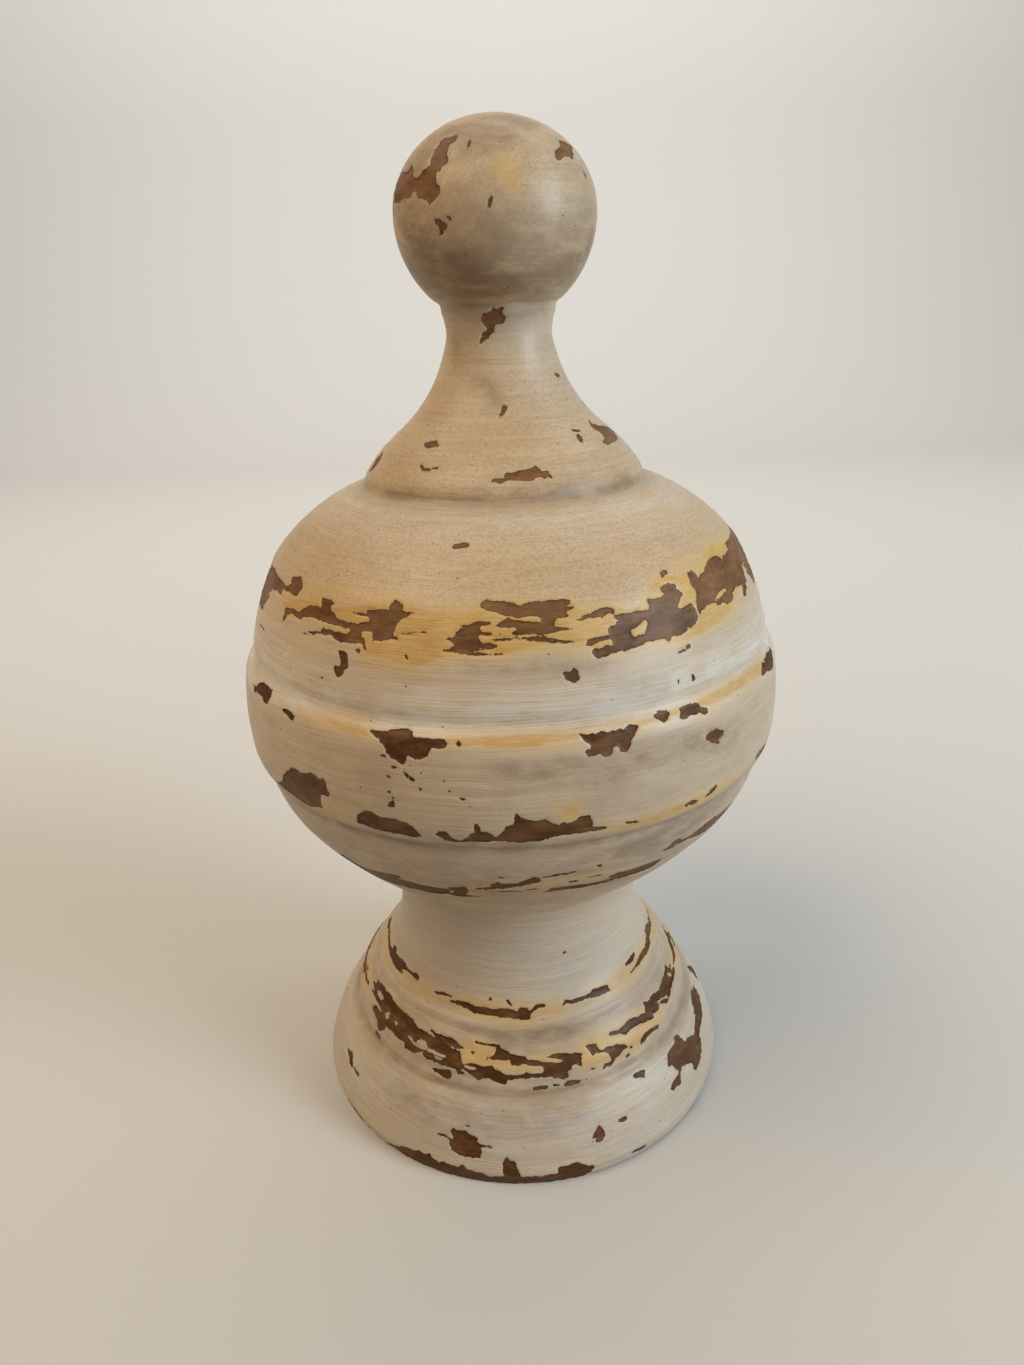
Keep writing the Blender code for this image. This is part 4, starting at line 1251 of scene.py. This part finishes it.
def worn_paint(colours, finish):
    """Cream paint brushed round the turning, worn through to ochre, chipped down to brown, with painted shade and
    sheen.
    """
    paint = Painter("worn_paint")
    place = paint.surface_place()
    chip, ochre = paint.attribute("chip"), paint.attribute("ochre")
    tan, dirt_and_shade, pale_and_sheen = paint.attribute("tan"), paint.attribute("dirt_and_shade"), paint.attribute("pale_and_sheen")
    thin = paint.attribute("thin")

    broad = paint.noise(paint.stretched(place, 0.050, 0.020), 3.0)
    swept = paint.wavered(place, paint.noise(paint.stretched(place, 0.020, 0.012, 2.2), 2.0), 0.0018)
    brush = paint.noise(paint.stretched(swept, 0.045, 0.0017, 3.1), 4.0, 0.6)
    bristle = paint.noise(paint.stretched(swept, 0.020, 0.00050, 7.7), 3.0, 0.65)
    aslant = paint.node("ShaderNodeCombineXYZ", {}, {0: paint.attribute("along"), 2: paint.attribute("across")})
    slant = paint.attribute("slant")
    brush = brush + slant * (paint.noise(paint.stretched(aslant, 0.011, 0.0014, 3.1), 4.0, 0.6) - brush)
    bristle = bristle + slant * (paint.noise(paint.stretched(aslant, 0.0055, 0.00050, 7.7), 3.0, 0.65) - bristle)
    grain = paint.noise(paint.stretched(place, 0.0008, 0.0008, 5.3), 2.0)
    mottle = paint.noise(paint.stretched(swept, 0.0060, 0.0028, 6.6), 5.0, 0.65)
    fine = paint.noise(paint.stretched(place, 0.0011, 0.0009, 9.1), 3.0)
    tear = paint.noise(paint.stretched(place, 0.0045, 0.0008, 1.7), 3.0)
    patch = paint.noise(paint.stretched(place, 0.012, 0.007, 4.4), 4.0, 0.6)

    cream = paint.mixed(tan, colour(colours.cream), colour(colours.tan))
    light = paint.mixed(tan, colour(colours.cream_light), colour(colours.tan_light))
    streaky = paint.step(tan, 0.30, 0.85, 0.62, 0.42)
    coat = paint.mixed(paint.step(brush + 0.8 * bristle + 0.4 * mottle, 0.90, 1.40) * streaky, cream, light)
    coat = paint.mixed(paint.step(bristle + 0.4 * mottle, 0.64, 0.44) * 0.30, coat, colour(colours.shade))
    coat = paint.mixed(paint.step(mottle, 0.52, 0.72) * paint.step(tan, 0.20, 0.70, 0.30, 0.10), coat, light)
    coat = paint.mixed(paint.step(broad + 0.5 * patch, 0.62, 1.05) * 0.20, coat, colour(colours.shade))
    dust = paint.step(0.8 * patch + 0.9 * mottle + 0.2 * bristle + 0.3 * dirt_and_shade, 0.88, 1.30)
    # Dirt, and painted shade in the hollows, on the undersides and on the ball's lower half, towards the grime colour
    coat = paint.mixed(dirt_and_shade * (0.35 + 0.65 * dust), coat, colour(colours.grime_and_shade))
    # Smudges: dirt from handling, and painted shade in the grooves, under the ball and on the right side
    coat = paint.mixed(paint.attribute("smudge_and_shade") * (0.22 + 0.45 * dust), coat, colour(colours.grime_and_shade))
    # Pale: thick paint, and a painted sheen where the light from the right glances off the quirk above the band and the
    # foot
    coat = paint.mixed(pale_and_sheen * paint.step(patch + 0.4 * bristle, 0.45, 0.95), coat, colour(colours.pale_and_sheen))
    speckle = paint.step(grain + 0.25 * mottle, 0.56, 0.80) * paint.step(tan, 0.55, 0.90, 0.03, 0.42)
    coat = paint.mixed(speckle, coat, colour(colours.shade))
    veil = thin * (0.25 + 0.45 * paint.step(patch + 0.5 * brush, 0.50, 1.0))
    coat = paint.mixed(veil, coat, colour(colours.ochre_light))
    coat = paint.mixed(paint.pinholes(place, 0.0056, 0.060) * 0.8, coat, colour(colours.brown))

    worn = ochre + 1.2 * (tear - 0.5) + 0.8 * (fine - 0.5)
    rubbed = 0.5 * paint.step(worn, 0.30, -0.25) + 0.42 * paint.step(worn + 1.4 * (patch - 0.5), 1.1, -0.9)
    ochre_coat = paint.mixed(paint.step(tear + patch, 0.75, 1.25), colour(colours.ochre), colour(colours.ochre_light))
    ochre_coat = paint.mixed(paint.step(tan, 0.42, 0.25) * 0.32, ochre_coat, cream)
    coat = paint.mixed(rubbed, coat, ochre_coat)

    gone = paint.step(chip + 0.8 * (fine - 0.5) + 0.5 * (tear - 0.5) + 0.4 * (grain - 0.5) - 0.04, 0.07, -0.07)
    uneven = 1.6 * (patch - 0.5) + 1.2 * (mottle - 0.5) + 0.8 * (tear - 0.5)
    # The brown is lighter on the upper, tan part, as painted light from above, and unevenly lighter at random
    lit_and_uneven = paint.step(tan, 0.35, 0.80, 0.14, 0.60) + uneven
    brown = paint.mixed(lit_and_uneven, colour(colours.brown), colour(colours.brown_light))
    # A painted shadow along the inside of each chip's edge, where the paint's thickness would cast one, in dark brown
    edge = paint.step(chip + 0.9 * (fine - 0.5), -0.38, -0.05)
    brown = paint.mixed(edge * (0.10 + 0.6 * paint.step(mottle, 0.45, 0.65)), brown, colour(colours.brown_edge_shadow))
    pits = paint.step(fine + 0.3 * grain, 0.74, 0.90) * paint.step(tan, 0.50, 0.90, 0.04, 0.40)
    coat = paint.mixed(pits, coat, colour(colours.shade))
    painted = paint.mixed(gone, coat, brown)

    rough = finish.cream_roughness + 0.10 * (brush - 0.5) + 0.12 * (patch - 0.5)
    rough = rough - gone * (finish.cream_roughness - finish.brown_roughness)
    ridges = 0.7 * brush + bristle + 0.5 * fine + 0.4 * mottle
    lip = 2.2 * (1 - gone)
    bump = {"Height": ridges * (1 - 0.5 * gone) + lip, "Strength": finish.brush_strength, "Distance": finish.brush_depth}
    normal = paint.node("ShaderNodeBump", {}, bump)
    paint.tree.links.new(painted.socket, paint.surface.inputs["Base Color"])
    paint.tree.links.new(rough.socket, paint.surface.inputs["Roughness"])
    paint.tree.links.new(normal.socket, paint.surface.inputs["Normal"])
    coated = finish.coat + gone * (finish.chip_coat - finish.coat)
    paint.tree.links.new(coated.socket, paint.surface.inputs["Coat Weight"])
    paint.surface.inputs["Coat Roughness"].default_value = finish.coat_roughness
    paint.surface.inputs["IOR"].default_value = 1.45
    paint.surface.inputs["Specular IOR Level"].default_value = finish.gloss
    return paint.material


def plain(name, shade, roughness):
    """A plain matt material for the stage."""
    paint = Painter(name)
    paint.surface.inputs["Base Color"].default_value = colour(shade)
    paint.surface.inputs["Roughness"].default_value = roughness
    return paint.material


def length_property(name, description, default):
    return bpy.props.FloatProperty(
        name=name, description=description, default=default, min=0.0, unit="LENGTH", subtype="DISTANCE", precision=5
    )


def colour_property(name, description, default):
    return bpy.props.FloatVectorProperty(
        name=name, description=description, default=default, min=0.0, max=1.0, size=3, subtype="COLOR"
    )


class FinialTurning(bpy.types.PropertyGroup):
    """How finely the turning is followed, and how soft its paint has made it."""

    columns: bpy.props.IntProperty(name="Columns", description="Flats round the turning", default=116, min=24)
    closest_rows: length_property("Closest rows", "Rows of faces where the outline bends most", 0.8 * MM)
    widest_rows: length_property("Widest rows", "Rows of faces where the outline is plain", 2.8 * MM)
    sagitta: length_property("Sagitta", "How far a face may stray from the outline", 0.03 * MM)
    softness: length_property("Softness", "How far the paint rounds the outline's corners", 0.45 * MM)
    unevenness: length_property("Unevenness", "How far the hand-turned, hand-painted surface wavers", 0.07 * MM)


class FinialWear(bpy.types.PropertyGroup):
    """How deep the wear goes and how its edges look."""

    chip_depth: length_property("Chip depth", "How deep a chip is", 0.32 * MM)
    ochre_depth: length_property("Ochre depth", "How deep the paint is rubbed to the ochre", 0.08 * MM)
    raggedness: length_property("Raggedness", "How far a chip's edge strays", 0.55 * MM)
    brush_depth: length_property("Brush depth", "Depth of the brush marks", 0.17 * MM)
    brush_strength: bpy.props.FloatProperty(
        name="Brush strength", description="How much the brush marks show", default=1.0, min=0.0, max=1.0
    )
    gloss: bpy.props.FloatProperty(
        name="Gloss", description="How strongly the paint shines", default=0.16, min=0.0, max=1.0
    )
    coat: bpy.props.FloatProperty(
        name="Coat", description="How strongly handling has polished the cream", default=0.30, min=0.0, max=1.0
    )
    chip_coat: bpy.props.FloatProperty(
        name="Chip coat", description="How strongly the brown in the chips shines", default=0.10, min=0.0, max=1.0
    )
    coat_roughness: bpy.props.FloatProperty(
        name="Coat roughness", description="How matt that polish is", default=0.34, min=0.0, max=1.0
    )
    cream_roughness: bpy.props.FloatProperty(
        name="Cream roughness", description="How matt the cream paint is", default=0.46, min=0.0, max=1.0
    )
    brown_roughness: bpy.props.FloatProperty(
        name="Brown roughness", description="How matt the brown coat is", default=0.50, min=0.0, max=1.0
    )


class FinialColours(bpy.types.PropertyGroup):
    """The coats of paint, with their painted shade and sheen, as linear colours."""

    cream: colour_property("Cream", "The cream paint where it is cleanest", (0.485, 0.38, 0.278))
    cream_light: colour_property("Cream, light", "Light brush marks in the cream", (0.625, 0.525, 0.405))
    tan: colour_property("Tan", "The paint where it has yellowed", (0.485, 0.345, 0.205))
    tan_light: colour_property("Tan, light", "Light brush marks where it has yellowed", (0.615, 0.465, 0.306))
    # Pale: thick paint in the hollows, and a painted sheen on the quirk above the band and on the foot
    pale_and_sheen: colour_property("Pale", "Thick paint in the hollows", (0.68, 0.68, 0.655))
    shade: colour_property("Shade", "Brown dust in the brush marks", (0.28, 0.170, 0.090))
    # Grime: the colour of the dirt and of the painted shade in the hollows, under the ball and in the smudges
    grime_and_shade: colour_property("Grime", "Grey dirt in the hollows and on the ball", (0.180, 0.116, 0.067))
    ochre: colour_property("Ochre", "The coat under the cream", (0.47, 0.265, 0.075))
    ochre_light: colour_property("Ochre, light", "The ochre's lighter streaks", (0.54, 0.35, 0.135))
    brown: colour_property("Brown", "The lowest coat, in the chips", (0.066, 0.024, 0.005))
    brown_light: colour_property("Brown, light", "The brown's lighter places", (0.215, 0.102, 0.042))
    # Brown, dark: the painted shadow along the inside of the chips' edges
    brown_edge_shadow: colour_property("Brown, dark", "Dirt along the edges of the chips", (0.030, 0.013, 0.005))


class FinialStage(bpy.types.PropertyGroup):
    """The floor and the light."""

    floor_colour: colour_property("Floor", "The plain floor and backdrop", (0.50, 0.47, 0.435))
    backdrop_distance: length_property("Backdrop distance", "From the finial to where the floor curves up", 1.3)
    window_power: bpy.props.FloatProperty(
        name="Window", description="Power of the cool light from the right", default=23.5, min=0.0, unit="POWER"
    )
    room_power: bpy.props.FloatProperty(
        name="Room", description="Power of the warm light from above left", default=17.5, min=0.0, unit="POWER"
    )
    backdrop_power: bpy.props.FloatProperty(
        name="Backdrop light", description="Power of the light on the backdrop", default=40.0, min=0.0, unit="POWER"
    )


class FINIAL_OT_turned_body(bpy.types.Operator):
    """Make the painted finial in place of its plain solid"""

    bl_idname = "finial.turned_body"
    bl_label = "Painted Finial"

    def execute(self, context):
        turning_sizes, wear_sizes = context.scene.finial_turning, context.scene.finial_wear
        outline = Outline(packed_corners(SOLID), turning_sizes.softness)
        rows = outline.rows(turning_sizes.closest_rows, turning_sizes.widest_rows, turning_sizes.sagitta)
        wear = Wear(outline, wear_sizes)
        turning = revolved(outline, turning_sizes.columns, rows)
        for reach, longest in FINER_CUTS:
            cut_finer(turning, wear, reach, longest)
        bmesh.ops.triangulate(turning, faces=[face for face in turning.faces if len(face.verts) > 4])
        mesh = bpy.data.meshes.new("painted_finial")
        turning.to_mesh(mesh)
        turning.free()
        place_vertices(mesh, outline, wear, Relief(turning_sizes, wear_sizes))
        unwrap(mesh, outline.run[-1])
        mesh.polygons.foreach_set("use_smooth", [True] * len(mesh.polygons))
        mesh.materials.append(worn_paint(context.scene.finial_colours, wear_sizes))
        piece = bpy.data.objects.new("painted_finial", mesh)
        context.scene.collection.objects.link(piece)
        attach(piece, "root")
        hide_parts("finial")
        print("faces", len(mesh.polygons), "triangles", sum(len(face.vertices) - 2 for face in mesh.polygons))
        return {"FINISHED"}


class Relief:
    """The sizes that lift or lower the surface."""

    def __init__(self, turning_sizes, wear_sizes):
        self.unevenness = turning_sizes.unevenness
        self.chip_depth = wear_sizes.chip_depth
        self.ochre_depth = wear_sizes.ochre_depth


def lamp(name, azimuth, elevation, distance, size, power, shade, target=FINIAL_MIDDLE):
    """A soft rectangular lamp that faces its target, which is the middle of the finial if no other is named."""
    light = bpy.data.lights.new(name, "AREA")
    light.shape = "RECTANGLE"
    light.size, light.size_y = size
    light.energy = power
    light.color = shade
    holder = bpy.data.objects.new(name, light)
    turn, rise = math.radians(azimuth), math.radians(elevation)
    way = Vector((math.sin(turn) * math.cos(rise), -math.cos(turn) * math.cos(rise), math.sin(rise)))
    holder.location = Vector(target) + distance * way
    holder.rotation_euler = way.to_track_quat("Z", "Y").to_euler()
    holder.visible_camera = False
    bpy.context.scene.collection.objects.link(holder)
    return holder


def backdrop(distance, shade):
    """A plain floor that curves up behind the finial."""
    half_width, front, curve, top = 2.5, -2.5, 0.6, 2.4
    section = [(front, 0.0), (distance, 0.0)]
    for step in range(1, 13):
        turn = math.pi / 2 * step / 12
        section.append((distance + curve * math.sin(turn), curve * (1 - math.cos(turn))))
    section.append((distance + curve, top))
    vertices = [(side * half_width, y, z) for y, z in section for side in (-1, 1)]
    faces = [(2 * row, 2 * row + 1, 2 * row + 3, 2 * row + 2) for row in range(len(section) - 1)]
    mesh = bpy.data.meshes.new("floor")
    mesh.from_pydata(vertices, [], faces)
    mesh.polygons.foreach_set("use_smooth", [True] * len(faces))
    mesh.materials.append(plain("floor_paper", shade, 0.9))
    floor = bpy.data.objects.new("floor", mesh)
    bpy.context.scene.collection.objects.link(floor)
    return floor


def photo_camera():
    """The photograph's camera."""
    lens = bpy.data.cameras.new("camera")
    lens.sensor_width = SENSOR_MM
    lens.lens = PIXELS_PER_SLOPE * SENSOR_MM / PHOTO_HEIGHT
    lens.clip_start = 0.01
    camera = bpy.data.objects.new("camera", lens)
    camera.matrix_world = Matrix.Translation(CAMERA_PLACE) @ camera_turn().to_4x4()
    bpy.context.scene.collection.objects.link(camera)
    return camera


class FINIAL_OT_stage(bpy.types.Operator):
    """Make the floor, the light and the camera"""

    bl_idname = "finial.stage"
    bl_label = "Stage"

    def execute(self, context):
        settings = context.scene.finial_stage
        backdrop(settings.backdrop_distance, settings.floor_colour)
        lamp("window", 65, 20, 1.5, (0.6, 0.9), settings.window_power, (0.71, 0.86, 0.99))
        lamp("room", -61, 55, 1.5, (1.2, 0.9), settings.room_power, (1.0, 0.81, 0.56))
        lamp("backdrop", 0, 35, 1.6, (2.4, 0.6), settings.backdrop_power, (0.94, 0.98, 1.0), BACKDROP_MIDDLE)
        world = context.scene.world or bpy.data.worlds.new("air")
        context.scene.world = world
        world.use_nodes = True
        air = world.node_tree.nodes["Background"]
        air.inputs["Color"].default_value = (1.0, 0.90, 0.78, 1.0)
        air.inputs["Strength"].default_value = 0.15
        context.scene.view_settings.view_transform = "Standard"
        context.scene.camera = photo_camera()
        return {"FINISHED"}


class FINIAL_PT_panel(bpy.types.Panel):
    bl_idname = "FINIAL_PT_panel"
    bl_label = "Worn Painted Finial"
    bl_space_type = "VIEW_3D"
    bl_region_type = "UI"
    bl_category = "Finial"

    def draw(self, context):
        layout = self.layout
        for group in GROUPS:
            box = layout.box()
            box.label(text=group)
            settings = getattr(context.scene, group)
            for name in settings.__annotations__:
                box.prop(settings, name)
        layout.operator(FINIAL_OT_turned_body.bl_idname)
        layout.operator(FINIAL_OT_stage.bl_idname)


GROUPS = {
    "finial_turning": FinialTurning,
    "finial_wear": FinialWear,
    "finial_colours": FinialColours,
    "finial_stage": FinialStage,
}
CLASSES = (*GROUPS.values(), FINIAL_OT_turned_body, FINIAL_OT_stage, FINIAL_PT_panel)


def register():
    for one in CLASSES:
        bpy.utils.register_class(one)
    for name, group in GROUPS.items():
        setattr(bpy.types.Scene, name, bpy.props.PointerProperty(type=group))


def unregister():
    for name in GROUPS:
        delattr(bpy.types.Scene, name)
    for one in reversed(CLASSES):
        bpy.utils.unregister_class(one)


def main():
    register()
    bpy.ops.finial.turned_body()
    bpy.ops.finial.stage()


if __name__ == "__main__":
    main()
